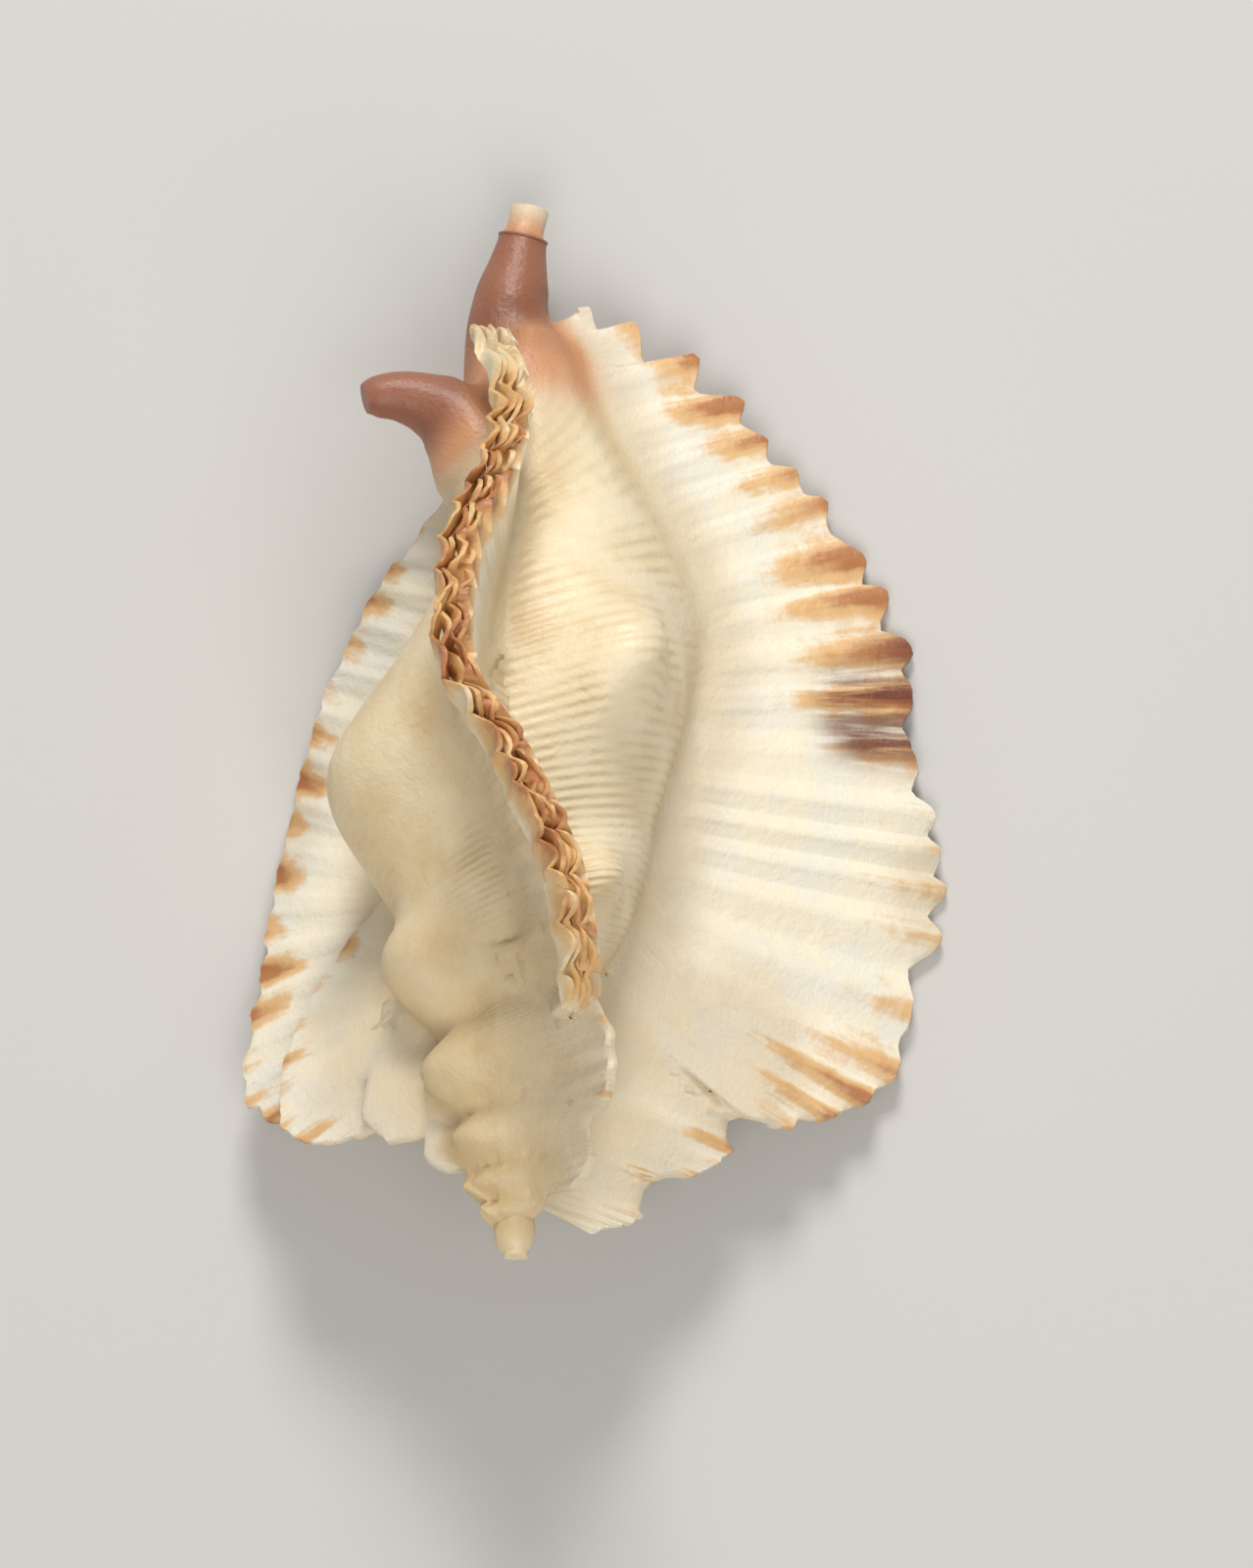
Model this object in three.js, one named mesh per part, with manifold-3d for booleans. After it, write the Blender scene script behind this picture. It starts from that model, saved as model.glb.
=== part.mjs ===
// Three-winged murex shell, one hollow-mouthed solid, millimetres, +Z up, lying mouth down.
// It is grown in its own frame first (apex at the origin, y along the axis towards the canal,
// z out through the middle fin, angles from z towards x) and laid down at the end.
import * as THREE from 'three';
import { mergeVertices } from 'three/addons/utils/BufferGeometryUtils.js';
import Module from 'manifold-3d';

// Growth: every turn of the spiral is this much larger than the one before it.
const TURN_GROWTH = 1.62;
const NODE_ANGLE = 50;        // angle of the youngest shoulder node, degrees
const NODE_SPACING = 120;     // a node sits half way between two wings
// Nodes (right, left, underneath): how far one stands out as a share of the radius, how wide and how
// far off its even place in degrees, and its height above the apex and half height on the youngest turn.
const NODES = [
  { swell: 0.3, width: 17, shift: -13, level: 41, halfHeight: 4.6 },
  { swell: 0.34, width: 36, shift: 0, level: 39, halfHeight: 7.5 },
  { swell: 0.15, width: 21, shift: 0, level: 41, halfHeight: 5.5 },
];
const LIP_ANGLE = 124;        // where the last turn ends
const WING_AHEAD = 57;        // a wing stands this far beyond its node, degrees
// The body rises towards each wing (right, middle, left) over so many degrees, by a share of its radius.
const RIDGES = [{ run: 26, swell: 0.2 }, { run: 58, swell: 0.5 }, { run: 36, swell: 0.3 }];
const RIDGE_FALL = 5;         // and falls again behind it, degrees
const RIDGE_STEEPNESS = 2.3;
const RIDGE_TWIST = 14;       // a wing's foot leans forward by this much towards the spire
const TWIST_TOP = 44;         // from this height down
const TWIST_LENGTH = 13;
const TWIST_LIMIT = 1.2;
const RIDGE_DRIFT = 0.045;    // and older wings stand ahead of the thirds of a turn, degrees for each degree
const DRIFT_START = -150;
const TURN_BLEND = 0.35;      // how softly one turn passes into the next, at the size of the youngest
const SUTURE_FILL = 2.4;      // width of the shell that fills the seam between two turns, same
const TURNS = 6;
const SPIRE_FULLNESS = 0.72;  // below 1 the older turns are wider than an exact spiral of growth
const APEX = { at: [0, 2, 0], radii: [1.3, 2, 1.3] };

// Radius of a turn over its height, both at the size of the youngest node; the last turn has a shoulder.
const LAST_TURN_PROFILE = [
  [22.5, 0], [24, 4.4], [25.5, 7.2], [27.5, 8.7], [30.5, 9.6], [34, 10.6], [37.5, 11.4], [41.5, 11.6],
  [46, 10.9], [50, 9.4], [54, 7.4], [58, 5.4], [62, 3.9], [66, 3.0], [70, 2.4], [74, 0],
];
const TURN_PROFILE = [
  [26.5, 0], [28, 4.2], [30.5, 7.4], [33.5, 9.5], [37.5, 11.2], [41.5, 11.6], [46, 10.9], [50, 9.4],
  [54, 7.4], [58, 5.4], [62, 3.9], [66, 3.0], [70, 2.4], [74, 0],
];
// The neck is the stem round the axis that carries the canal.
const NECK_PROFILE = [[16, 0], [26, 2.6], [36, 4.6], [46, 5.2], [54, 4.8], [60, 3.8], [65, 2.9], [68, 0]];
const BODY_COLUMNS = 36;
const BODY_ROWS = 28;
const BODY_TOP = 68;
const ROW_CROWDING = 1.25;    // above 1 the rows crowd together towards the apex

// Wings: one row for each flute tip, from the canal end to the spire end: radius, height, angle.
const RIGHT_WING = [
  [5.5, 70.7, 110], [9.2, 69.9, 109], [13.8, 67.9, 108], [16.8, 64.6, 107.5], [18.4, 62.3, 107],
  [20.4, 59.9, 107], [22.9, 57.9, 107], [25.4, 54.2, 107], [27.1, 51.6, 107], [29.2, 47.2, 107],
  [29.1, 43.5, 107], [29.4, 39.7, 107.5], [30.7, 35.8, 108], [31.3, 33.1, 109], [31.7, 30.6, 110],
  [31.6, 27.2, 111], [30.4, 21.9, 113], [29.3, 17.4, 114.5], [26.9, 15, 115], [24.2, 13.4, 116],
  [20.5, 12, 116], [18, 12.9, 117], [16.2, 15.9, 118], [15.4, 19.4, 118],
];
const FRONT_FIN = [
  [5.4, 67.3, -32], [8, 65, -15], [10.8, 61.6, -6], [13.5, 58, -3], [15.8, 54.8, -4], [17.6, 51.8, -6],
  [19.6, 49.2, -8.5], [21.6, 46.3, -10.5], [23.2, 43.5, -11.3], [24.4, 40.5, -11.5], [24.8, 37.6, -11.3],
  [25.2, 34.5, -10], [26, 31.6, -6], [26.6, 28.8, -2], [26.9, 26, 1], [26.8, 23.2, 4], [26.3, 20.4, 7],
  [25.4, 17.6, 9], [24, 15, 11], [21.8, 12.8, 13], [18.8, 11.4, 15], [15.5, 11.8, 16], [12.8, 13.8, 17],
];
const LEFT_WING = [
  [5.5, 58.5, -126], [8.5, 55, -128], [11.2, 53, -130], [13.4, 51, -131], [15.6, 48.2, -132],
  [17.6, 45.4, -132], [19, 42.4, -132], [20.2, 39.2, -132], [21, 36, -132], [21.8, 32.6, -131],
  [22.4, 29, -130], [22.8, 25.4, -129], [22.9, 21.8, -127], [22.8, 18.4, -125], [22.4, 15.4, -124],
  [20.2, 13.4, -123], [17.2, 12.4, -122], [14.2, 13, -121], [11.8, 15, -121],
];
// Blades of the older turns repeat the spire end of a wing: first tip kept, scales, turn in degrees.
const OLDER_BLADES = [
  { tips: RIGHT_WING, first: 13, radial: 0.6, along: 0.62, turn: 6, root: [21.5, 9], sweep: 14, steps: 2 },
  { tips: RIGHT_WING, first: 13, radial: 0.38, along: 0.3, turn: 11.5, root: [10.5, 4], sweep: 16, steps: 1 },
  { tips: FRONT_FIN, first: 12, radial: 0.62, along: 0.6, turn: 15, root: [20, 9], sweep: 53, steps: 2 },
  { tips: FRONT_FIN, first: 13, radial: 0.38, along: 0.33, turn: 24, root: [11, 3.5], sweep: 53, steps: 1 },
  { tips: LEFT_WING, first: 8, radial: 0.8, along: 0.78, turn: 8, root: [24, 15], sweep: 23, steps: 2 },
  { tips: LEFT_WING, first: 9, radial: 0.5, along: 0.7, turn: 17, root: [16, 10.5], sweep: 25, steps: 1 },
  { tips: LEFT_WING, first: 10, radial: 0.3, along: 0.5, turn: 25, root: [10, 6.5], sweep: 23, steps: 1 },
];
// Where each wing's root starts and ends along the axis, and the degrees over which its smooth face
// curves out of the body.
const WING_FEET = { right: { root: [69, 22.5], sweep: 12 }, front: { root: [66, 19.5], sweep: 28 },
  left: { root: [57, 17], sweep: 12 } };
const ROOT_CROWDING = 1.7;    // above 1 the roots of the last flutes crowd together at the spire end
const ROOT_INSET = 1.0;       // a wing's curve starts this far inside the body
const LEAST_FOOT = 0.4;
const BACK_TURN = 3;          // degrees from a wing's own angle to the foot of its steep face
const CORE_SHARE = 0.3;       // the buried heel of a wing, as a share of the radius at its foot
const HEEL_THICKNESS = 0.3;
const BEND_SHARE = 0.35;      // how far up to its tip a flute has climbed where its curve bends
const FACE_CROWDING = 1.3;    // above 1 the rows of a wing crowd together towards its edge
const EDGE_THICKNESS = 1.0;
const FIN_EDGE_THICKNESS = 2.6; // the middle fin ends in a pack of frilled plates
const TOOTH_SHARE = 0.34;     // depth between two flute tips, as a share of their distance
const FLUTE_SHARE = 0.17;     // height of a flute out of the face, same

// Stems: x, y, z and radius.
const CANAL_PATH = [
  [0.2, 50, -2.4, 3.8], [0, 58, -2.2, 3.6], [-0.4, 66.5, -1.7, 3.2], [-0.3, 70.3, -1.4, 2.7],
  [0.1, 72.9, -1.2, 2], [0.6, 75.8, -1, 1.45], [0.9, 77, -1, 1.2],
];
const SPUR_PATH = [
  [0.6, 54, 0, 4.9], [-2.2, 58.4, 1.1, 4.1], [-4.4, 60.6, 1.8, 2.9], [-6.2, 61.5, 2.2, 2.15],
  [-8, 61.9, 2.5, 1.75], [-9.6, 61.8, 2.7, 1.45], [-10.4, 61.6, 2.8, 1.05],
];
const MOUTH_LOBE = { at: [3.6, 45.5, -4.6], radii: [7.2, 11.5, 5.6] };
const MOUTH_RIM = { at: [3.9, 45.8, -8.2], radii: [5.1, 7.4, 2.8] };
const MOUTH = { at: [3.9, 45.8, -9.6], radii: [3.9, 6.1, 7.2] };

// The flute tips that the shell lies on, with the side of the edge that is underneath, and how deep
// they are worn flat.
const RESTS_ON = [[RIGHT_WING, 9, EDGE_THICKNESS], [RIGHT_WING, 15, EDGE_THICKNESS], [LEFT_WING, 9, -0.4]];
const WEAR = 0.6;
const WELD = 0.01;            // points closer than this become one

const rad = THREE.MathUtils.degToRad;

/** Smooth curve through rows of numbers; the place is counted in rows. */
function alongRows(rows, place) {
  const last = rows.length - 1;
  const at = Math.min(Math.max(place, 0), last);
  const i = Math.min(Math.floor(at), last - 1);
  const f = at - i;
  const before = rows[Math.max(i - 1, 0)], a = rows[i], b = rows[i + 1], after = rows[Math.min(i + 2, last)];
  return a.map((_, n) => {
    const m0 = (b[n] - before[n]) / 2, m1 = (after[n] - a[n]) / 2;
    const f2 = f * f, f3 = f2 * f;
    return (2 * f3 - 3 * f2 + 1) * a[n] + (f3 - 2 * f2 + f) * m0 + (3 * f2 - 2 * f3) * b[n] + (f3 - f2) * m1;
  });
}

/** Value of a two-column table at x; zero outside it. */
function tableAt(rows, x) {
  if (x <= rows[0][0] || x >= rows[rows.length - 1][0]) return 0;
  let i = 0;
  while (rows[i + 1][0] < x) i += 1;
  const f = (x - rows[i][0]) / (rows[i + 1][0] - rows[i][0]);
  return Math.max(alongRows(rows.map((row) => [row[1]]), i + f)[0], 0);
}

/** Radius of the body at an angle (degrees) and a height: the largest of its turns there. */
function bodyRadius(angle, y) {
  const top = angle - 360 * Math.ceil((angle - LIP_ANGLE) / 360);
  let radius = tableAt(NECK_PROFILE, y);
  for (let turn = 0; turn < TURNS; turn += 1) {
    const growth = top - 360 * turn;
    const size = TURN_GROWTH ** ((growth - NODE_ANGLE) / 360);
    const level = y / size;
    const behindNode = NODE_ANGLE - growth + NODE_SPACING / 2;
    const nodeNumber = Math.floor(behindNode / NODE_SPACING);
    const { swell: height, width, shift, level: middle, halfHeight } = NODES[((nodeNumber % 3) + 3) % 3];
    const off = NODE_SPACING * nodeNumber + NODE_SPACING / 2 - behindNode - shift;
    const node = height * Math.exp(-((off / width) ** 2) - ((level - middle) / halfHeight) ** 2);
    const lean = RIDGE_TWIST * THREE.MathUtils.clamp((TWIST_TOP - level) / TWIST_LENGTH, 0, TWIST_LIMIT)
      + RIDGE_DRIFT * Math.max(0, DRIFT_START - growth);
    const crestAngle = NODE_ANGLE + WING_AHEAD + lean;
    const ahead = (((crestAngle - growth) % NODE_SPACING) + NODE_SPACING) % NODE_SPACING;
    const order = Math.round((crestAngle - growth - ahead) / NODE_SPACING) + 3;
    const near = RIDGES[order % 3], behind = RIDGES[(order + 1) % 3];
    const rise = near.swell * Math.max(0, 1 - ahead / near.run) ** RIDGE_STEEPNESS;
    const fall = behind.swell * Math.max(0, 1 - (NODE_SPACING - ahead) / RIDGE_FALL);
    const swell = 1 + node + Math.max(rise, fall);
    const profile = turn === 0 ? LAST_TURN_PROFILE : TURN_PROFILE;
    const here = Math.min(size, 1) ** SPIRE_FULLNESS * Math.max(size, 1) * tableAt(profile, level) * swell;
    const blend = TURN_BLEND * size;
    const fill = SUTURE_FILL * size;
    const gap = radius - here;
    const seam = Math.max(fill - Math.abs(gap), 0) ** 2 / (4 * fill);
    radius = 0.5 * (radius + here + Math.sqrt(gap * gap + blend * blend)) - 0.5 * blend + seam;
  }
  return Math.max(radius, 0.05);
}

/** Point at a radius, height and angle (degrees). */
function polar(radius, y, angle) {
  return new THREE.Vector3(radius * Math.sin(rad(angle)), y, radius * Math.cos(rad(angle)));
}

/** Closed geometry from points and faces given as rings of point numbers. */
function closedGeometry(points, faces) {
  const geometry = new THREE.BufferGeometry();
  const numbers = points.flatMap((point) => point.toArray());
  geometry.setAttribute('position', new THREE.Float32BufferAttribute(numbers, 3));
  const index = [];
  for (const face of faces) {
    for (let i = 1; i < face.length - 1; i += 1) index.push(face[0], face[i], face[i + 1]);
  }
  geometry.setIndex(index);
  return geometry;
}

/** The coiled body, a closed skin of columns round the axis between two pole points. */
function bodyGeometry() {
  const points = [new THREE.Vector3(0, 0, 0)];
  for (let row = 1; row < BODY_ROWS; row += 1) {
    const y = BODY_TOP * (row / BODY_ROWS) ** ROW_CROWDING;
    for (let column = 0; column < BODY_COLUMNS; column += 1) {
      const angle = LIP_ANGLE + 0.5 + (359 * column) / (BODY_COLUMNS - 1);
      points.push(polar(bodyRadius(angle, y), y, angle));
    }
  }
  points.push(new THREE.Vector3(0, BODY_TOP, 0));
  const end = points.length - 1;
  const at = (row, column) => 1 + (row - 1) * BODY_COLUMNS + (column % BODY_COLUMNS);
  const faces = [];
  for (let column = 0; column < BODY_COLUMNS; column += 1) {
    faces.push([0, at(1, column + 1), at(1, column)]);
    for (let row = 1; row < BODY_ROWS - 1; row += 1) {
      faces.push([at(row, column), at(row, column + 1), at(row + 1, column + 1), at(row + 1, column)]);
    }
    faces.push([end, at(BODY_ROWS - 1, column), at(BODY_ROWS - 1, column + 1)]);
  }
  return closedGeometry(points, faces);
}

/** Closed skin between two grids of points that face each other. */
function slabGeometry(front, back) {
  const columns = front.length, rows = front[0].length;
  const points = [...front.flat(), ...back.flat()];
  const a = (i, j) => i * rows + j, b = (i, j) => columns * rows + i * rows + j;
  const faces = [];
  for (let i = 0; i < columns - 1; i += 1) {
    for (let j = 0; j < rows - 1; j += 1) {
      faces.push([a(i, j), a(i + 1, j), a(i + 1, j + 1), a(i, j + 1)]);
      faces.push([b(i, j), b(i, j + 1), b(i + 1, j + 1), b(i + 1, j)]);
    }
    faces.push([a(i, 0), b(i, 0), b(i + 1, 0), a(i + 1, 0)]);
    faces.push([a(i, rows - 1), a(i + 1, rows - 1), b(i + 1, rows - 1), b(i, rows - 1)]);
  }
  for (let j = 0; j < rows - 1; j += 1) {
    faces.push([a(0, j), a(0, j + 1), b(0, j + 1), b(0, j)]);
    faces.push([a(columns - 1, j), b(columns - 1, j), b(columns - 1, j + 1), a(columns - 1, j + 1)]);
  }
  return closedGeometry(points, faces);
}

/** Distance between neighbouring flute tips at a place along the edge. */
function tipSpacing(tips, place) {
  const i = Math.min(Math.floor(place), tips.length - 2);
  return polar(...tips[i]).distanceTo(polar(...tips[i + 1]));
}

/** A wing: smooth hollow face rising out of the body, steep face behind it, fluted and toothed edge. */
function wingGeometry(tips, { root, sweep }, steps, rows, thickness = EDGE_THICKNESS) {
  const last = tips.length - 1;
  const columns = last * steps + 1;
  const front = [], back = [];
  for (let i = 0; i < columns; i += 1) {
    const place = i / steps;
    const share = place / last;
    const [radius, y, angle] = alongRows(tips, place);
    const reach = tipSpacing(tips, place);
    const valley = 0.5 - 0.5 * Math.cos(2 * Math.PI * place);
    const footY = root[0] + (root[1] - root[0]) * (1 - (1 - share) ** ROOT_CROWDING);
    const foot = angle - sweep;
    const backFoot = angle + BACK_TURN;
    const footRadius = Math.max(bodyRadius(foot, footY) - ROOT_INSET, LEAST_FOOT);
    const start = polar(footRadius, footY, foot);
    const bend = polar(footRadius / Math.cos(rad(angle - foot)), footY + BEND_SHARE * (y - footY), angle);
    const tip = polar(radius, y, angle);
    const backStart = polar(Math.max(bodyRadius(backFoot, footY) - ROOT_INSET, LEAST_FOOT), footY, backFoot);
    const outward = tip.clone().sub(bend).normalize();
    tip.addScaledVector(outward, -TOOTH_SHARE * reach * valley);
    const side = polar(1, 0, angle + 90);
    const heel = polar(CORE_SHARE * footRadius, footY, angle);
    const frontColumn = [heel], backColumn = [heel.clone().addScaledVector(side, HEEL_THICKNESS)];
    for (let j = 0; j <= rows; j += 1) {
      const t = 1 - (1 - j / rows) ** FACE_CROWDING;
      const onFace = start.clone().multiplyScalar((1 - t) ** 2).addScaledVector(bend, 2 * t * (1 - t))
        .addScaledVector(tip, t * t);
      const onBack = backStart.clone().lerp(tip, t).addScaledVector(side, thickness * t);
      const lift = FLUTE_SHARE * reach * (0.5 - valley) * t ** FACE_CROWDING;
      frontColumn.push(onFace.addScaledVector(side, -lift));
      backColumn.push(onBack.addScaledVector(side, -lift));
    }
    front.push(frontColumn);
    back.push(backColumn);
  }
  return slabGeometry(front, back);
}

/** Round stem that follows rows of x, y, z and radius, closed at both ends. */
function stemGeometry(path, steps, sides) {
  const points = [], faces = [];
  const places = Array.from({ length: (path.length - 1) * steps + 1 }, (_, i) => i / steps);
  for (const place of places) {
    const [x, y, z, radius] = alongRows(path, place);
    const ahead = new THREE.Vector3(...alongRows(path, place + 0.05));
    const behind = new THREE.Vector3(...alongRows(path, place - 0.05));
    const along = ahead.sub(behind).normalize();
    const across = new THREE.Vector3(0, 0, 1).cross(along).normalize();
    const up = along.clone().cross(across);
    for (let i = 0; i < sides; i += 1) {
      const turn = (2 * Math.PI * i) / sides;
      points.push(new THREE.Vector3(x, y, z).addScaledVector(across, radius * Math.cos(turn))
        .addScaledVector(up, radius * Math.sin(turn)));
    }
  }
  const at = (row, i) => row * sides + (i % sides);
  for (let row = 0; row < places.length - 1; row += 1) {
    for (let i = 0; i < sides; i += 1) {
      faces.push([at(row, i), at(row, i + 1), at(row + 1, i + 1), at(row + 1, i)]);
    }
  }
  faces.push(Array.from({ length: sides }, (_, i) => at(0, sides - 1 - i)));
  faces.push(Array.from({ length: sides }, (_, i) => at(places.length - 1, i)));
  return closedGeometry(points, faces);
}

/** Ellipsoid at a place. */
function ellipsoidGeometry({ at, radii }, around, up) {
  return new THREE.SphereGeometry(1, around, up).scale(...radii).translate(...at);
}

const wasm = await Module();
wasm.setup();

/** Turns a closed geometry into a solid, facing outwards whichever way it was wound. */
function solid(geometry) {
  const clean = geometry.clone();
  clean.deleteAttribute('normal');
  clean.deleteAttribute('uv');
  const merged = mergeVertices(clean, 1e-4);
  const make = (flip) => {
    const index = Uint32Array.from(merged.index.array);
    if (flip) index.reverse();
    return new wasm.Manifold(new wasm.Mesh({
      numProp: 3, vertProperties: Float32Array.from(merged.attributes.position.array), triVerts: index,
    }));
  };
  const first = make(false);
  return first.volume() > 0 ? first : make(true);
}

/** The finished skin with points that all but touch made one, and the faces that vanish by it left out. */
function welded({ vertProperties, triVerts }) {
  const numbers = new Map(), points = [], faces = new Map();
  const numberOf = (vertex) => {
    const place = [0, 1, 2].map((n) => Math.round(vertProperties[3 * vertex + n] / WELD) * WELD);
    const key = place.map((value) => value.toFixed(4)).join(' ');
    if (!numbers.has(key)) {
      numbers.set(key, points.length / 3);
      points.push(...place);
    }
    return numbers.get(key);
  };
  for (let i = 0; i < triVerts.length; i += 3) {
    const face = [numberOf(triVerts[i]), numberOf(triVerts[i + 1]), numberOf(triVerts[i + 2])];
    if (new Set(face).size < 3) continue;
    const key = [...face].sort((a, b) => a - b).join(' ');
    if (faces.has(key)) faces.delete(key);
    else faces.set(key, face);
  }
  const geometry = new THREE.BufferGeometry();
  geometry.setAttribute('position', new THREE.Float32BufferAttribute(points, 3));
  geometry.setIndex([...faces.values()].flat());
  return geometry;
}

let shell = solid(bodyGeometry());
shell = shell.add(solid(ellipsoidGeometry(APEX, 12, 8)));
shell = shell.add(solid(ellipsoidGeometry(MOUTH_LOBE, 16, 10)));
shell = shell.add(solid(ellipsoidGeometry(MOUTH_RIM, 16, 8)));
shell = shell.add(solid(stemGeometry(CANAL_PATH, 2, 10)));
shell = shell.add(solid(stemGeometry(SPUR_PATH, 2, 10)));
shell = shell.add(solid(wingGeometry(RIGHT_WING, WING_FEET.right, 2, 3)));
shell = shell.add(solid(wingGeometry(FRONT_FIN, WING_FEET.front, 2, 3, FIN_EDGE_THICKNESS)));
shell = shell.add(solid(wingGeometry(LEFT_WING, WING_FEET.left, 2, 2)));
for (const { tips, first, radial, along, turn, root, sweep, steps } of OLDER_BLADES) {
  const own = tips.slice(first).map(([radius, y, angle]) => [radius * radial, y * along, angle + turn]);
  shell = shell.add(solid(wingGeometry(own, { root, sweep }, steps, 2)));
}
// Pockets closed in between a wing's foot and the body are shell all through: the outer skin is kept.
shell = shell.decompose().reduce((outer, skin) => (skin.volume() > outer.volume() ? skin : outer));
shell = shell.subtract(solid(ellipsoidGeometry(MOUTH, 16, 10)));

// Lay it down on the three flute tips, the canal along +Y, and wear those tips flat at zero height.
const [tipA, tipB, tipC] = RESTS_ON.map(([tips, n, under]) => (
  polar(...tips[n]).addScaledVector(polar(1, 0, tips[n][2] + 90), under)));
const upward = tipB.clone().sub(tipA).cross(tipC.clone().sub(tipA)).normalize();
if (upward.z < 0) upward.negate();
const forward = new THREE.Vector3(0, 1, 0).projectOnPlane(upward).normalize();
const pose = new THREE.Matrix4().makeBasis(forward.clone().cross(upward), forward, upward).transpose();
let laid = shell.transform(pose.elements);
laid = laid.translate([0, 0, -laid.boundingBox().min[2] - WEAR]);
const below = new THREE.BoxGeometry(300, 300, 50).translate(0, 0, -25);
laid = laid.subtract(solid(below));
const box = laid.boundingBox();
laid = laid.translate([-(box.min[0] + box.max[0]) / 2, -(box.min[1] + box.max[1]) / 2, 0]);

const geometry = welded(laid.getMesh());
geometry.computeVertexNormals();

const material = new THREE.MeshStandardMaterial({ color: '#ebe0ca', roughness: 0.42, metalness: 0 });
const mesh = new THREE.Mesh(geometry, material);
mesh.name = 'shell';
const group = new THREE.Group();
group.name = 'murex_shell';
group.add(mesh);
export default group;
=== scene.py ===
"""Three-winged murex shell lying mouth down on a pale floor."""
import math

import bpy
import numpy as np
from mathutils import Matrix, Vector, kdtree


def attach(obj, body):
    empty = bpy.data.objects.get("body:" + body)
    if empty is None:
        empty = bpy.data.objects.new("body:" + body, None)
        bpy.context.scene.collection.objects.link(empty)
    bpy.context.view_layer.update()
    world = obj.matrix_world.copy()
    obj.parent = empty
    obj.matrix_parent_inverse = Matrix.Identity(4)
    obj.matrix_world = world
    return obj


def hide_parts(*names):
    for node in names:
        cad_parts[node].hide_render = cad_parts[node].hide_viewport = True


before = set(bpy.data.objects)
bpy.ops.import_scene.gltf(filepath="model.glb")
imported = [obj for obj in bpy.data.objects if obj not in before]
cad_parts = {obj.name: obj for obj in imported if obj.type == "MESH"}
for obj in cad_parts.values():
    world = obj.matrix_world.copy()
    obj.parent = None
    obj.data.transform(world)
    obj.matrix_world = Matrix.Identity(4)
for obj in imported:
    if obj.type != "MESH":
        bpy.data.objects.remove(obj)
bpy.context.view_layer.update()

bl_info = {
    "name": "Three-winged murex shell",
    "version": (1, 0, 0),
    "blender": (4, 5, 0),
    "location": "View3D > Sidebar > Shell",
    "description": "Grows a three-winged murex shell, paints it and sets its stage",
    "category": "Add Mesh",
}

MM = 0.001

# Growth of the body, in the shell's own frame: millimetres, apex at the origin, y along the axis
# towards the canal, z out through the middle fin, angles in degrees from z towards x.
TURN_GROWTH = 1.62
NODE_ANGLE = 50.0
NODE_SPACING = 120.0
# Nodes (right, left, underneath): how far one stands out as a share of the radius, its width and how
# far off its even place it is in degrees, and its height and half height on the youngest turn.
NODE_SWELL = np.array([0.38, 0.34, 0.15])
NODE_WIDTH = np.array([17.0, 36.0, 21.0])
NODE_SHIFT = np.array([-13.0, 0.0, 0.0])
NODE_LEVEL = np.array([41.0, 39.0, 41.0])
NODE_HALF_HEIGHT = np.array([4.6, 7.5, 5.5])
LIP_ANGLE = 124.0
WING_AHEAD = 57.0  # a wing stands this far beyond its node
# The body rises towards each wing (right, middle, left) and falls again behind it.
RIDGE_RUN = np.array([26.0, 58.0, 36.0])
RIDGE_SWELL = np.array([0.2, 0.5, 0.3])
RIDGE_FALL = 5.0
RIDGE_STEEPNESS = 2.3
RIDGE_TWIST = 14.0  # a wing's foot leans forward by this much towards the spire
TWIST_TOP, TWIST_LENGTH, TWIST_LIMIT = 44.0, 13.0, 1.2
RIDGE_DRIFT = 0.045  # and older wings stand ahead of the thirds of a turn
DRIFT_START = -150.0
TURN_BLEND = 0.35
SUTURE_FILL = 2.4  # width of the shell that fills the seam under the last turn, and under older ones
OLDER_SUTURE_FILL = 4.4
TURNS = 6
SPIRE_FULLNESS = 0.72  # below 1 the older turns are wider than an exact spiral of growth
CORDS_PER_TURN = 21  # about 0.95 mm apart on the last turn
TURN_PROFILE = np.array([
    [26.5, 0], [28, 4.2], [30.5, 7.4], [33.5, 9.5], [37.5, 11.2], [41.5, 11.6], [46, 10.9], [50, 9.4],
    [54, 7.4], [58, 5.4], [62, 3.9], [66, 3.0], [70, 2.4], [74, 0]])
LAST_TURN_PROFILE = np.array([
    [22.5, 0], [24, 4.4], [25.5, 7.2], [27.5, 8.7], [30.5, 9.6], [34, 10.6], [37.5, 11.4], [41.5, 11.6],
    [46, 10.9], [50, 9.4], [54, 7.4], [58, 5.4], [62, 3.9], [66, 3.0], [70, 2.4], [74, 0]])
NECK_PROFILE = np.array([
    [16, 0], [26, 2.6], [36, 4.6], [46, 5.2], [54, 4.8], [60, 3.8], [65, 2.9], [68, 0]])
BODY_TOP = 68.0
BODY_COLUMNS, BODY_ROWS = 170, 210
ROW_CROWDING = 1.15  # above 1 the rows crowd together towards the apex

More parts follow.
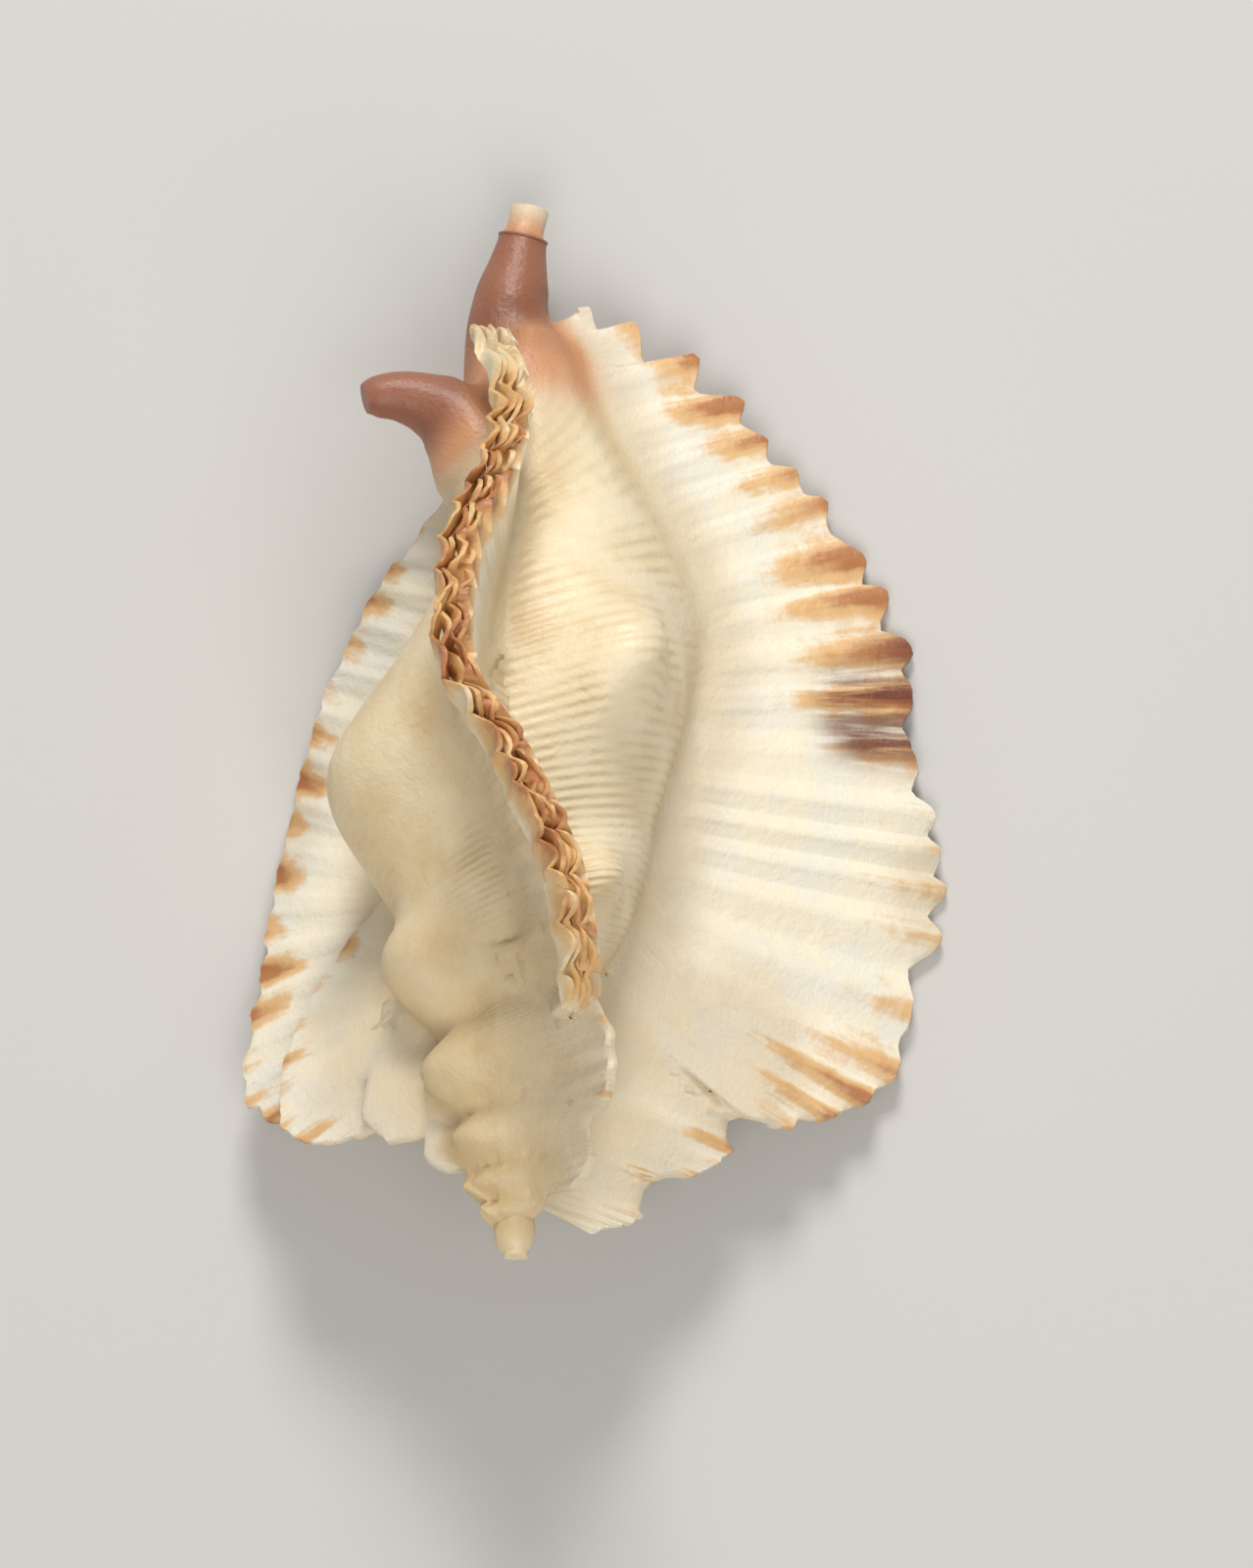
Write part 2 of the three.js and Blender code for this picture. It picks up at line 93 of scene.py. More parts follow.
# Wings: one row for each flute tip, from the canal end to the spire end: radius, height, angle.
RIGHT_WING = np.array([
    [5.5, 70.7, 110], [9.2, 69.9, 109], [13.8, 67.9, 108], [16.8, 64.6, 107.5], [18.4, 62.3, 107],
    [20.4, 59.9, 107], [22.9, 57.9, 107], [25.4, 54.2, 107], [27.1, 51.6, 107], [29.2, 47.2, 107],
    [29.1, 43.5, 107], [29.4, 39.7, 107.5], [30.7, 35.8, 108], [31.3, 33.1, 109], [31.7, 30.6, 110],
    [31.6, 27.2, 111], [30.4, 21.9, 113], [29.3, 17.4, 114.5], [26.9, 15, 115], [24.2, 13.4, 116],
    [20.5, 12, 116], [18, 12.9, 117], [16.2, 15.9, 118], [15.4, 19.4, 118]])
FRONT_FIN = np.array([
    [5.4, 67.3, -32], [8, 65, -15], [10.8, 61.6, -6], [13.5, 58, -3], [15.8, 54.8, -4], [17.6, 51.8, -6],
    [19.6, 49.2, -8.5], [21.6, 46.3, -10.5], [23.2, 43.5, -11.3], [24.4, 40.5, -11.5], [24.8, 37.6, -11.3],
    [25.2, 34.5, -10], [26, 31.6, -6], [26.6, 28.8, -2], [26.9, 26, 1], [26.8, 23.2, 4], [26.3, 20.4, 7],
    [25.4, 17.6, 9], [24, 15, 11], [21.8, 12.8, 13], [18.8, 11.4, 15], [15.5, 11.8, 16], [12.8, 13.8, 17]])
LEFT_WING = np.array([
    [5.5, 58.5, -126], [8.5, 55, -128], [11.2, 53, -130], [13.4, 51, -131], [15.6, 48.2, -132],
    [17.6, 45.4, -132], [19, 42.4, -132], [20.2, 39.2, -132], [21, 36, -132], [21.8, 32.6, -131],
    [22.4, 29, -130], [22.8, 25.4, -129], [22.9, 21.8, -127], [22.8, 18.4, -125], [22.4, 15.4, -124],
    [20.2, 13.4, -123], [17.2, 12.4, -122], [14.2, 13, -121], [11.8, 15, -121]])
# Beside each tip, in the same order: depth of the tooth, height of the flute, how brown it is.
RIGHT_LOOKS = [
    [.3, .4, 0], [.42, .5, .55], [.45, .5, .75], [.42, .5, .95], [.4, .5, .75], [.35, .5, .6], [.35, .6, .7],
    [.4, .6, .9], [.35, .6, .95], [.35, .7, .85], [.3, .8, 1], [.25, .9, .5], [.2, 1, .15], [.12, 1, .25],
    [.1, 1, .3], [.25, 1, .3], [.25, 1, .3], [.12, 1, .55], [.1, 1, .75], [.1, .9, .55], [.12, .8, .3],
    [.15, .7, .2], [.15, .6, .1], [.15, .5, 0]]
FRONT_LOOKS = [[.34, .7, b] for b in (
    .2, .3, .45, .6, .75, .85, .9, .7, .85, .8, .9, .95, .8, .9, .95, .85, .8, .7, .6, .5, .4, .3, .2)]
LEFT_LOOKS = [[.2, .6, b] for b in (
    .1, .3, .6, .7, .5, .3, .6, .9, .5, .85, .5, .95, .75, .3, .45, .8, .6, .3, .1)]
# Blades of the older turns: source wing, first tip, radial and axial scale, turn, root, sweep, stain.
OLDER_BLADES = [
    ("R", 13, 0.6, 0.62, 6, (21.5, 9), 14, 0.6), ("R", 13, 0.38, 0.3, 11.5, (10.5, 4), 16, 0.25),
    ("F", 12, 0.62, 0.6, 15, (20, 9), 53, 0.3), ("F", 13, 0.38, 0.33, 24, (11, 3.5), 53, 0.2),
    ("L", 8, 0.8, 0.78, 8, (24, 15), 23, 0.6), ("L", 9, 0.5, 0.7, 17, (16, 10.5), 25, 0.25),
    ("L", 10, 0.3, 0.5, 25, (10, 6.5), 23, 0.15)]
# Where each wing's root starts and ends along the axis, and over how many degrees its smooth face
# curves out of the body.
ROOTS = {"R": (69, 22.5), "F": (66, 19.5), "L": (57, 17)}
SWEEP = {"R": 12.0, "F": 28.0, "L": 12.0}
ROOT_CROWDING = 1.7
ROOT_INSET = 1.0
LEAST_FOOT = 0.4
BACK_TURN = 3.0  # degrees from a wing's angle to the foot of its steep face
OLDER_BACK_TURN = 20.0  # the older left blades are thick at the foot
CORE_SHARE = 0.3
HEEL_THICKNESS = 0.3
BEND_SHARE = 0.35
FACE_CROWDING = 1.3
RIM = 0.18  # how far the rounded rim stands out of a wing's edge
PLATE_RIM = 0.08
TOOTH_SHARE = 0.34
KNOBS_TO = 7.0  # the right wing's first tips are knobs with wide gaps between them
# Purple-brown patches of the right wing: tip, half width in tips, and where each starts towards the edge.
PURPLE_PATCHES = [(9.9, 0.6, 0.72), (10.8, 0.4, 0.76), (8.9, 0.3, 0.88)]
FIN_EDGE_THICKNESS = 1.6
FIN_CUT = 1.2  # the middle fin's own edge lies this far inside its frilled plates
# Frilled plates: thickness, gap, and how far each lies inside the one before, all in millimetres.
PLATE_THICKNESS, PLATE_GAP, PLATE_DROP, PLATE_UNEVENNESS = 0.34, 0.52, 0.25, 0.9
PLATE_SHARE = 0.86  # a plate starts at this share of the edge's radius
# Stems: x, y, z and radius; the canal has a collar where its last growth began.
CANAL_PATH = np.array([
    [0.2, 50, -2.4, 3.8], [0, 58, -2.2, 3.6], [-0.4, 66.5, -1.7, 3.2], [-0.3, 70.3, -1.4, 2.7],
    [0.1, 72.9, -1.2, 2.05], [0.4, 74.6, -1.1, 1.7], [0.48, 75, -1.05, 1.75], [0.55, 75.3, -1, 1.35],
    [0.75, 76.2, -1, 1.3], [0.9, 77, -1, 1.35]])
CANAL_BORE = np.array([
    [0.1, 71.5, -1.2, 0.5], [0.5, 75, -1.05, 0.75], [0.75, 76.4, -1, 0.85], [0.95, 77.6, -1, 1.0]])
SPUR_PATH = np.array([
    [0.6, 54, 0, 4.9], [-2.2, 58.4, 1.1, 4.1], [-4.4, 60.6, 1.8, 2.9], [-6.2, 61.5, 2.2, 2.15],
    [-8, 61.9, 2.5, 1.75], [-9.6, 61.8, 2.7, 1.45], [-10.4, 61.6, 2.8, 1.05]])
# Ellipsoids: middle and radii.
APEX = ((0, 2.1, 0), (1.45, 2.0, 1.4))
MOUTH_LOBE = ((3.6, 45.5, -4.6), (7.2, 11.5, 5.6))
MOUTH_RIM = ((3.9, 45.8, -8.2), (5.1, 7.4, 2.8))
MOUTH = ((3.9, 45.8, -9.6), (3.9, 6.1, 7.2))

RIB_BLOCK = 1000.0  # each skin numbers its ribs from its own thousand, so that two are never mixed
ALL_SOURCES = 900  # more than the number of skins that are ever joined
SPREAD_PASSES = 40  # broad colours pass into each other over about 2 mm

# Resting attitude: the flute tips it lies on (wing, tip, side of the edge underneath), and the move
# that puts the middle of the solid's box over the origin.
RESTS_ON = [(RIGHT_WING, 9, 1.0), (RIGHT_WING, 15, 1.0), (LEFT_WING, 9, -0.4)]
LAID_SHIFT = (-4.59, -38.2, 17.53)

# The photograph looks down on the shell, tilted by this much towards the canal, from far away.
VIEW_TILT = 20.0
VIEW_DISTANCE = 1.5
VIEW_CENTRE = (7.63, 32.33)  # across and along the axis, in millimetres
PIXELS_PER_MM = 15.0  # pixels of the photograph for each millimetre
PHOTO_HEIGHT = 1600


def along_rows(rows, place):
    """Smooth curve through rows of numbers, at places counted in rows."""
    last = len(rows) - 1
    at = np.clip(np.asarray(place, float), 0, last)
    i = np.minimum(at.astype(int), last - 1)
    f = (at - i)[..., None]
    before, a, b, after = rows[np.maximum(i - 1, 0)], rows[i], rows[i + 1], rows[np.minimum(i + 2, last)]
    m0, m1 = (b - before) / 2, (after - a) / 2
    return (2*f**3 - 3*f**2 + 1)*a + (f**3 - 2*f**2 + f)*m0 + (3*f**2 - 2*f**3)*b + (f**3 - f**2)*m1


def table_at(rows, x):
    """Value of a two-column table; zero outside it."""
    x = np.asarray(x, float)
    i = np.clip(np.searchsorted(rows[:, 0], x, side="right") - 1, 0, len(rows) - 2)
    f = (x - rows[i, 0]) / (rows[i + 1, 0] - rows[i, 0])
    value = along_rows(rows[:, 1:], i + f)[..., 0]
    return np.where((x > rows[0, 0]) & (x < rows[-1, 0]), np.maximum(value, 0), 0)


def body_radius(angle, y):
    """Radius of the body at angles and heights: the largest of its turns there."""
    angle, y = np.broadcast_arrays(np.asarray(angle, float), np.asarray(y, float))
    top = angle - 360 * np.ceil((angle - LIP_ANGLE) / 360)
    radius = table_at(NECK_PROFILE, y)
    for turn in range(TURNS):
        growth = top - 360 * turn
        size = TURN_GROWTH ** ((growth - NODE_ANGLE) / 360)
        level = y / size
        side = np.round((NODE_ANGLE - growth) / NODE_SPACING).astype(int) % 3
        off = (growth - NODE_ANGLE + NODE_SPACING / 2) % NODE_SPACING - NODE_SPACING / 2 - NODE_SHIFT[side]
        node = NODE_SWELL[side] * np.exp(-(off / NODE_WIDTH[side])**2
                                         - ((level - NODE_LEVEL[side]) / NODE_HALF_HEIGHT[side])**2)
        lean = (RIDGE_TWIST * np.clip((TWIST_TOP - level) / TWIST_LENGTH, 0, TWIST_LIMIT)
                + RIDGE_DRIFT * np.maximum(0, DRIFT_START - growth))
        crest = NODE_ANGLE + WING_AHEAD + lean - growth
        ahead = crest % NODE_SPACING
        order = np.round((crest - ahead) / NODE_SPACING).astype(int)
        rise = RIDGE_SWELL[order % 3] * np.maximum(0, 1 - ahead / RIDGE_RUN[order % 3])**RIDGE_STEEPNESS
        fall = RIDGE_SWELL[(order + 1) % 3] * np.maximum(0, 1 - (NODE_SPACING - ahead) / RIDGE_FALL)
        swell = 1 + node + np.maximum(rise, fall)
        profile = LAST_TURN_PROFILE if turn == 0 else TURN_PROFILE
        here = np.minimum(size, 1)**SPIRE_FULLNESS * np.maximum(size, 1) * table_at(profile, level) * swell
        blend = TURN_BLEND * size
        fill = (SUTURE_FILL if turn == 0 else OLDER_SUTURE_FILL) * size
        gap = radius - here
        seam = np.maximum(fill - np.abs(gap), 0)**2 / (4 * fill)
        radius = 0.5 * (radius + here + np.sqrt(gap**2 + blend**2)) - 0.5 * blend + seam
    return np.maximum(radius, 0.05)


def polar(radius, y, angle):
    """Points at radii, heights and angles."""
    a = np.radians(angle)
    return np.stack(np.broadcast_arrays(radius * np.sin(a), y, radius * np.cos(a)), -1)


def step(low, high, x):
    """Smooth step from 0 at low to 1 at high."""
    f = np.clip((np.asarray(x, float) - low) / (high - low), 0, 1)
    return f * f * (3 - 2 * f)


class Skin:
    """A closed surface with its paint, one row for each point.

    The paint is how near the edge, the number of the rib or cord, how brown, how purple, how warm, how
    pink, and how strong the cords are."""

    PAINT = ("edge", "rib", "stain", "dark", "warm", "pink", "relief")

    def __init__(self, points, faces, paint):
        self.points, self.faces = np.asarray(points, float), faces
        self.paint = np.stack([np.broadcast_to(np.asarray(paint.get(name, 0.0), float), len(points))
                               for name in self.PAINT], 1)
        a, b, c = (self.points[[f[k] for f in faces]] for k in (0, 1, 2))
        d = self.points[[f[-1] for f in faces]]
        volume = np.einsum("ij,ij->", a, np.cross(b, c)) + np.einsum("ij,ij->", a, np.cross(c, d))
        if volume < 0:
            self.faces = [tuple(reversed(f)) for f in faces]


def cord_count(angle, y):
    """Number of the spiral cord at a body point; it runs on evenly over the seam between turns."""
    top = angle - 360 * np.ceil((angle - LIP_ANGLE) / 360)
    return CORDS_PER_TURN * (np.log(y) / math.log(TURN_GROWTH) - (top - NODE_ANGLE) / 360)


def body_skin(columns, rows):
    """The coiled body, columns round the axis between two pole points.

    Left of the middle fin the body is a darker warm beige, partly its own warm tone and partly painted shade,
    and smoother; the cords fade towards apex and canal."""
    angle = LIP_ANGLE + 0.5 + 359 * np.arange(columns) / (columns - 1)
    y = BODY_TOP * (np.arange(1, rows) / rows)**ROW_CROWDING
    A, Y = np.meshgrid(angle, y, indexing="ij")
    grid = polar(body_radius(A, Y), Y, A)
    points = np.concatenate([[[0, 0, 0]], grid.transpose(1, 0, 2).reshape(-1, 3), [[0, BODY_TOP, 0]]])
    end = len(points) - 1
    at = lambda row, column: 1 + (row - 1) * columns + column % columns
    faces = []
    for column in range(columns):
        faces.append((0, at(1, column + 1), at(1, column)))
        for row in range(1, rows - 1):
            faces.append((at(row, column), at(row, column + 1),
                          at(row + 1, column + 1), at(row + 1, column)))
        faces.append((end, at(rows - 1, column), at(rows - 1, column + 1)))
    height = points[:, 1]
    face = (np.degrees(np.arctan2(points[:, 0], points[:, 2])) + 65) / 58
    left = np.exp(-face**4) * step(66, 50, height)
    rib = np.concatenate([[0], cord_count(A, Y).T.reshape(-1), [0]])
    # The extra warmth left of the middle fin is partly the shell's warm tone and partly painted shade.
    warm = np.clip(0.42 + 0.16 * left + 0.04 * step(28, 12, height), 0, 1)
    relief = (1 - 0.85 * left) * step(10, 26, height) * step(64, 54, height)
    pink = 0.6 * step(59, 66, height)
    return Skin(points, faces, {"warm": warm, "rib": rib, "relief": relief, "pink": pink})


def ring_skin(front, back, paint_front, paint_back, rim=RIM):
    """Closed skin from two facing grids, with a rounded rim between their outer rows."""
    outward = front[:, -1] - front[:, -2]
    outward /= np.linalg.norm(outward, axis=1)[:, None] + 1e-9
    middle = (front[:, -1] + back[:, -1]) / 2 + outward * rim
    root = (front[:, 0] + back[:, 0]) / 2
    rings = np.concatenate([root[:, None], front, middle[:, None], back[:, ::-1]], 1)
    columns, ring = rings.shape[:2]
    paint = {}
    for name in paint_front:
        f, b = (np.broadcast_to(side[name], front.shape[:2]) for side in (paint_front, paint_back))
        paint[name] = np.concatenate([f[:, :1], f, f[:, -1:], b[:, ::-1]], 1).reshape(-1)
    at = lambda i, j: i * ring + j % ring
    faces = [(at(i, j), at(i, j + 1), at(i + 1, j + 1), at(i + 1, j))
             for i in range(columns - 1) for j in range(ring)]
    half = ring // 2
    for i in (0, columns - 1):
        caps = [(at(i, 0), at(i, ring - 1), at(i, 1))]
        for j in range(1, half):
            if j + 1 < ring - 1 - j:
                caps.append((at(i, j), at(i, ring - j), at(i, ring - 1 - j), at(i, j + 1)))
            elif j + 1 == ring - 1 - j:
                caps.append((at(i, j), at(i, ring - j), at(i, j + 1)))
        faces += caps if i == 0 else [tuple(reversed(face)) for face in caps]
    return Skin(rings.reshape(-1, 3), faces, paint)


def noise_line(seed, place):
    """Gentle repeatable variation along a line, between -1 and 1."""
    rng = np.random.default_rng(seed)
    return along_rows(rng.uniform(-1, 1, (64, 1)), np.asarray(place) % 60)[..., 0]


def wing_grids(tips, looks, root, sweep, per_tip, rows, thickness, flute, seed, purple=(),
               reach_cut=0.0, relief=0.35, knobs_to=-9.0, back_turn=BACK_TURN):
    """A wing: smooth hollow face out of the body, steep face behind it, fluted and toothed edge.

    Each row of looks belongs to a tip: how deep the tooth beside it is, how high its flute, how brown.
    The tips before knobs_to are knobs with wide gaps, and the canal's pink reaches in between them."""
    last = len(tips) - 1
    place = np.linspace(0, last, last * per_tip + 1)
    share = place / last
    radius, y, angle = along_rows(tips, place).T
    columns = np.asarray(looks, float).T
    tooth, high, brown = (np.interp(place, np.arange(last + 1), column) for column in columns)
    gaps = np.linalg.norm(np.diff(polar(*tips.T), axis=0), axis=1)
    reach = np.interp(place, np.arange(last) + 0.5, gaps)
    wave = 0.5 - 0.5 * np.cos(2 * np.pi * (place + 0.1 * noise_line(seed + 2, place * 0.8)))
    vary = 1 + 0.4 * noise_line(seed, place * 0.7)
    foot_y = root[0] + (root[1] - root[0]) * (1 - (1 - share)**ROOT_CROWDING)
    foot = angle - sweep
    foot_radius = np.maximum(body_radius(foot, foot_y) - ROOT_INSET, LEAST_FOOT)
    start = polar(foot_radius, foot_y, foot)
    bend = polar(foot_radius / np.cos(np.radians(sweep)), foot_y + BEND_SHARE * (y - foot_y), angle)
    tip = polar(radius, y, angle)
    back_radius = np.maximum(body_radius(angle + back_turn, foot_y) - ROOT_INSET, LEAST_FOOT)
    back_start = polar(back_radius, foot_y, angle + back_turn)
    outward = tip - bend
    outward /= np.linalg.norm(outward, axis=1)[:, None]
    along = np.gradient(tip, axis=0)
    along /= np.linalg.norm(along, axis=1)[:, None]
    outward -= 0.9 * (outward * along).sum(1)[:, None] * along
    outward /= np.linalg.norm(outward, axis=1)[:, None]
    ragged = 0.08 + 0.05 * noise_line(seed + 1, place * 3.3) + 0.03 * noise_line(seed + 4, place * 7.1)
    gap_shape = 1.6 - 0.8 * step(knobs_to + 2, knobs_to - 2, place)
    depth = tooth * reach * wave**gap_shape * vary + reach * ragged + RIM + reach_cut
    tip = tip - outward * depth[:, None]
    side = polar(1, 0, angle + 90)
    t = 1 - (1 - np.arange(rows + 1) / rows)**FACE_CROWDING
    T = t[None, :, None]
    face = start[:, None]*(1-T)**2 + 2*T*(1-T)*bend[:, None] + T**2*tip[:, None]
    back = back_start[:, None]*(1-T) + tip[:, None]*T + side[:, None]*thickness*T
    riblets = 0.05 * np.cos(6 * np.pi * place)[None, :] * step(0.3, 0.8, t)[:, None]
    crest = (0.5 - wave)[None, :] * t[:, None]**1.2 + riblets
    lift = (flute * high * reach * vary * crest).T[..., None] * side[:, None]
    face, back = face - lift, back - lift
    heel = polar(CORE_SHARE * foot_radius, foot_y, angle)[:, None]
    front = np.concatenate([heel, face], 1)
    back = np.concatenate([heel + side[:, None]*HEEL_THICKNESS, back], 1)
    t_all = np.concatenate([[0], t])[None, :] + 0 * place[:, None]
    ridge = (0.25 + 0.75 * (1 - wave)**1.3)[:, None]
    low = 1 - np.clip(0.12 + 0.3 * brown, 0, 1)[:, None]
    stained = brown[:, None] * ridge * np.clip((t_all - low) / (1.02 - low), 0, 1)
    dark = np.zeros_like(stained)
    for middle, width, inner in purple:
        dark += np.exp(-((place[:, None] - middle) / width)**2) * step(inner, inner + 0.14, t_all)
    pink = 0.5 * step(max(knobs_to - 3.5, 0.01), 0, place)[:, None] * step(0.9, 0.3, t_all)
    paint = {"edge": t_all, "rib": 3 * place[:, None] + RIB_BLOCK * (seed % 17 + 1) + 0 * t_all,
             "stain": stained, "dark": np.clip(dark, 0, 1), "pink": pink, "relief": relief + 0 * t_all}
    return front, back, paint


def plate_skin(tips, looks, per_tip, inner_share, thickness, curl, seed):
    """One frilled plate behind a wing's edge, with the directions in which its fellows are set."""
    last = len(tips) - 1
    brown = np.asarray(looks, float)[:, 2]
    stop = last - 2.6
    place = np.linspace(0.6, stop, int((stop - 0.6) * per_tip) + 1)
    radius, y, angle = along_rows(tips, place).T
    gaps = np.linalg.norm(np.diff(polar(*tips.T), axis=0), axis=1)
    reach = np.interp(place, np.arange(last) + 0.5, gaps)
    phase = place + 0.22 * noise_line(seed + 7, place * 0.9)
    bulge = np.abs(np.cos(np.pi * phase))**0.8
    fade = np.clip(np.minimum(place - 0.6, stop - place) / 2, 0, 1)
    side = polar(1, 0, angle + 90)
    ragged = 0.45 * noise_line(seed + 3, place * 2.3) + 0.25 * noise_line(seed + 5, place * 5.1)
    outer = radius - 0.45 - TOOTH_SHARE * reach * (1 - bulge) * 0.8 + ragged
    lateral = (curl * bulge * reach * 0.36 + 0.25 * noise_line(seed, place * 2.1)) * (0.3 + 0.7 * fade)
    s = np.linspace(0, 1, 5)[None, :]
    outer -= 1.2 * step(2.5, 0, stop - place)
    inner = (radius * inner_share)[:, None]
    curled = (0.25 + 0.75 * s**1.5) * lateral[:, None]
    r = inner + (outer[:, None] - inner) * s
    front = polar(r, y[:, None] * (0.985 + 0.015 * s), angle[:, None] + 0 * s)
    front = front + side[:, None] * curled[..., None]
    back = front + side[:, None] * thickness
    amount = np.interp(place, np.arange(last + 1), brown)[:, None] + 0 * s
    shade = 0.5 + 0.5 * noise_line(seed + 11, place * 1.7)[:, None]
    paint = {"edge": 0.72 + 0.28 * s + 0 * amount, "warm": 0.5 + 0 * amount,
             "rib": 3 * place[:, None] + RIB_BLOCK * (seed % 13 + 20) + 0 * s,
             "stain": amount * (0.25 + 0.6 * s) * (0.3 + 0.7 * shade)}
    skin = ring_skin(front, back, paint, paint, rim=PLATE_RIM)
    out = polar(1, 0, angle)
    ring = len(skin.points) // len(place)
    return skin, np.repeat(side, ring, 0), np.repeat(out, ring, 0)


def ball_skin(at, radii, around, up, paint):
    """Ellipsoid at a place."""
    lat = np.pi * np.arange(1, up) / up
    lon = 2 * np.pi * np.arange(around) / around
    wide, high = np.sin(lat)[:, None], np.cos(lat)[:, None]
    ring = np.stack([wide * np.cos(lon), high + 0 * lon, wide * np.sin(lon)], -1)
    points = np.concatenate([ring.reshape(-1, 3), [[0, 1, 0], [0, -1, 0]]]) * np.array(radii) + np.array(at)
    place = lambda r, i: r * around + i % around
    top = (up - 1) * around
    faces = [(place(r, i), place(r, i + 1), place(r + 1, i + 1), place(r + 1, i))
             for r in range(up - 2) for i in range(around)]
    faces += [(top, place(0, i + 1), place(0, i)) for i in range(around)]
    faces += [(top + 1, place(up - 2, i), place(up - 2, i + 1)) for i in range(around)]
    return Skin(points, faces, paint)


def laid_matrix():
    """Turns the shell's own frame into the row's frame: lying on its flute tips, canal along +Y."""
    feet = []
    for tips, number, under in RESTS_ON:
        r, y, a = tips[number]
        feet.append(polar(r, y, a) + polar(1, 0, a + 90) * under)
    up = np.cross(feet[1] - feet[0], feet[2] - feet[0])
    up /= np.linalg.norm(up)
    if up[2] < 0:
        up = -up
    forward = np.array([0, 1, 0]) - up * up[1]
    forward /= np.linalg.norm(forward)
    return np.stack([np.cross(forward, up), forward, up])


def add_mesh(name, points, faces, source, edges=()):
    """A mesh object in the row's frame, in metres, from points in the shell's own frame."""
    mesh = bpy.data.meshes.new(name)
    mesh.from_pydata(laid(points).tolist(), list(edges), faces)
    mesh.validate()
    marks = mesh.attributes.new("source", "INT", "FACE")
    marks.data.foreach_set("value", [source] * len(mesh.polygons))
    piece = bpy.data.objects.new(name, mesh)
    bpy.context.scene.collection.objects.link(piece)
    return piece


def laid(points):
    """Points of the shell's own frame in the row's frame, in metres."""
    return (np.asarray(points) @ laid_matrix().T + np.array(LAID_SHIFT)) * MM


def places_of(mesh):
    """The points of a mesh as an array."""
    points = np.empty(len(mesh.vertices) * 3)
    mesh.vertices.foreach_get("co", points)
    return points.reshape(-1, 3)


def edges_of(mesh):
    """The two point numbers of every edge."""
    edges = np.empty(len(mesh.edges) * 2, int)
    mesh.edges.foreach_get("vertices", edges)
    return edges.reshape(-1, 2).T


def keep_evaluated(piece):
    """Makes what a piece's modifiers show its plain mesh, and removes them."""
    graph = bpy.context.evaluated_depsgraph_get()
    mesh = bpy.data.meshes.new_from_object(
        piece.evaluated_get(graph), preserve_all_data_layers=True, depsgraph=graph)
    piece.modifiers.clear()
    old = piece.data
    piece.data = mesh
    bpy.data.meshes.remove(old)
    if not len(mesh.polygons):
        raise RuntimeError("nothing is left of " + piece.name)


def combine(piece, other, operation):
    """Joins another closed mesh to a piece, or cuts it out, and drops it."""
    change = piece.modifiers.new("combine", "BOOLEAN")
    change.operation, change.object, change.solver = operation, other, "MANIFOLD"
    keep_evaluated(piece)
    gone = other.data
    bpy.data.objects.remove(other)
    bpy.data.meshes.remove(gone)


def grow_by_nodes(piece, tree, **values):
    """Runs a node tree on a piece with its named inputs, and keeps the plain mesh."""
    change = piece.modifiers.new("grow", "NODES")
    change.node_group = tree
    for item in tree.interface.items_tree:
        if item.in_out == "INPUT" and item.name in values:
            change[item.identifier] = values[item.name]
    keep_evaluated(piece)


def new_tree(name, inputs):
    """An empty Geometry Nodes tree with its sockets; returns it and its group input."""
    tree = bpy.data.node_groups.new(name, "GeometryNodeTree")
    tree.interface.new_socket("Geometry", in_out="OUTPUT", socket_type="NodeSocketGeometry")
    tree.interface.new_socket("Geometry", in_out="INPUT", socket_type="NodeSocketGeometry")
    for label, kind in inputs:
        tree.interface.new_socket(label, in_out="INPUT", socket_type="NodeSocket" + kind)
    return tree, add_node(tree, "NodeGroupInput")


def close_tree(tree, geometry, material):
    """Ends a tree in real geometry with its material."""
    real = add_node(tree, "GeometryNodeRealizeInstances", {"Geometry": geometry})
    dressed = add_node(tree, "GeometryNodeSetMaterial", {"Geometry": real.outputs[0], "Material": material})
    add_node(tree, "NodeGroupOutput", {"Geometry": dressed.outputs[0]})


def named(tree, name, kind):
    """The values of an attribute by its name."""
    node = add_node(tree, "GeometryNodeInputNamedAttribute", {"Name": name}, data_type=kind)
    return node.outputs["Attribute"]


def stem_tree():
    """Sweeps a round section along a line of points, as wide as each point's radius."""
    tree, given = new_tree("round_stem", [("Sides", "Int"), ("Material", "Material")])
    line = add_node(tree, "GeometryNodeMeshToCurve", {"Mesh": given.outputs["Geometry"]})
    wide = named(tree, "radius", "FLOAT")
    line = add_node(tree, "GeometryNodeSetCurveRadius", {"Curve": line.outputs[0], "Radius": wide})
    ring = add_node(tree, "GeometryNodeCurvePrimitiveCircle", {
        "Resolution": given.outputs["Sides"], "Radius": 1.0})
    tube = add_node(tree, "GeometryNodeCurveToMesh", {
        "Curve": line.outputs[0], "Profile Curve": ring.outputs["Curve"], "Fill Caps": True})
    if "Scale" in tube.inputs:
        tree.links.new(wide, tube.inputs["Scale"])
    close_tree(tree, tube.outputs[0], given.outputs["Material"])
    return tree


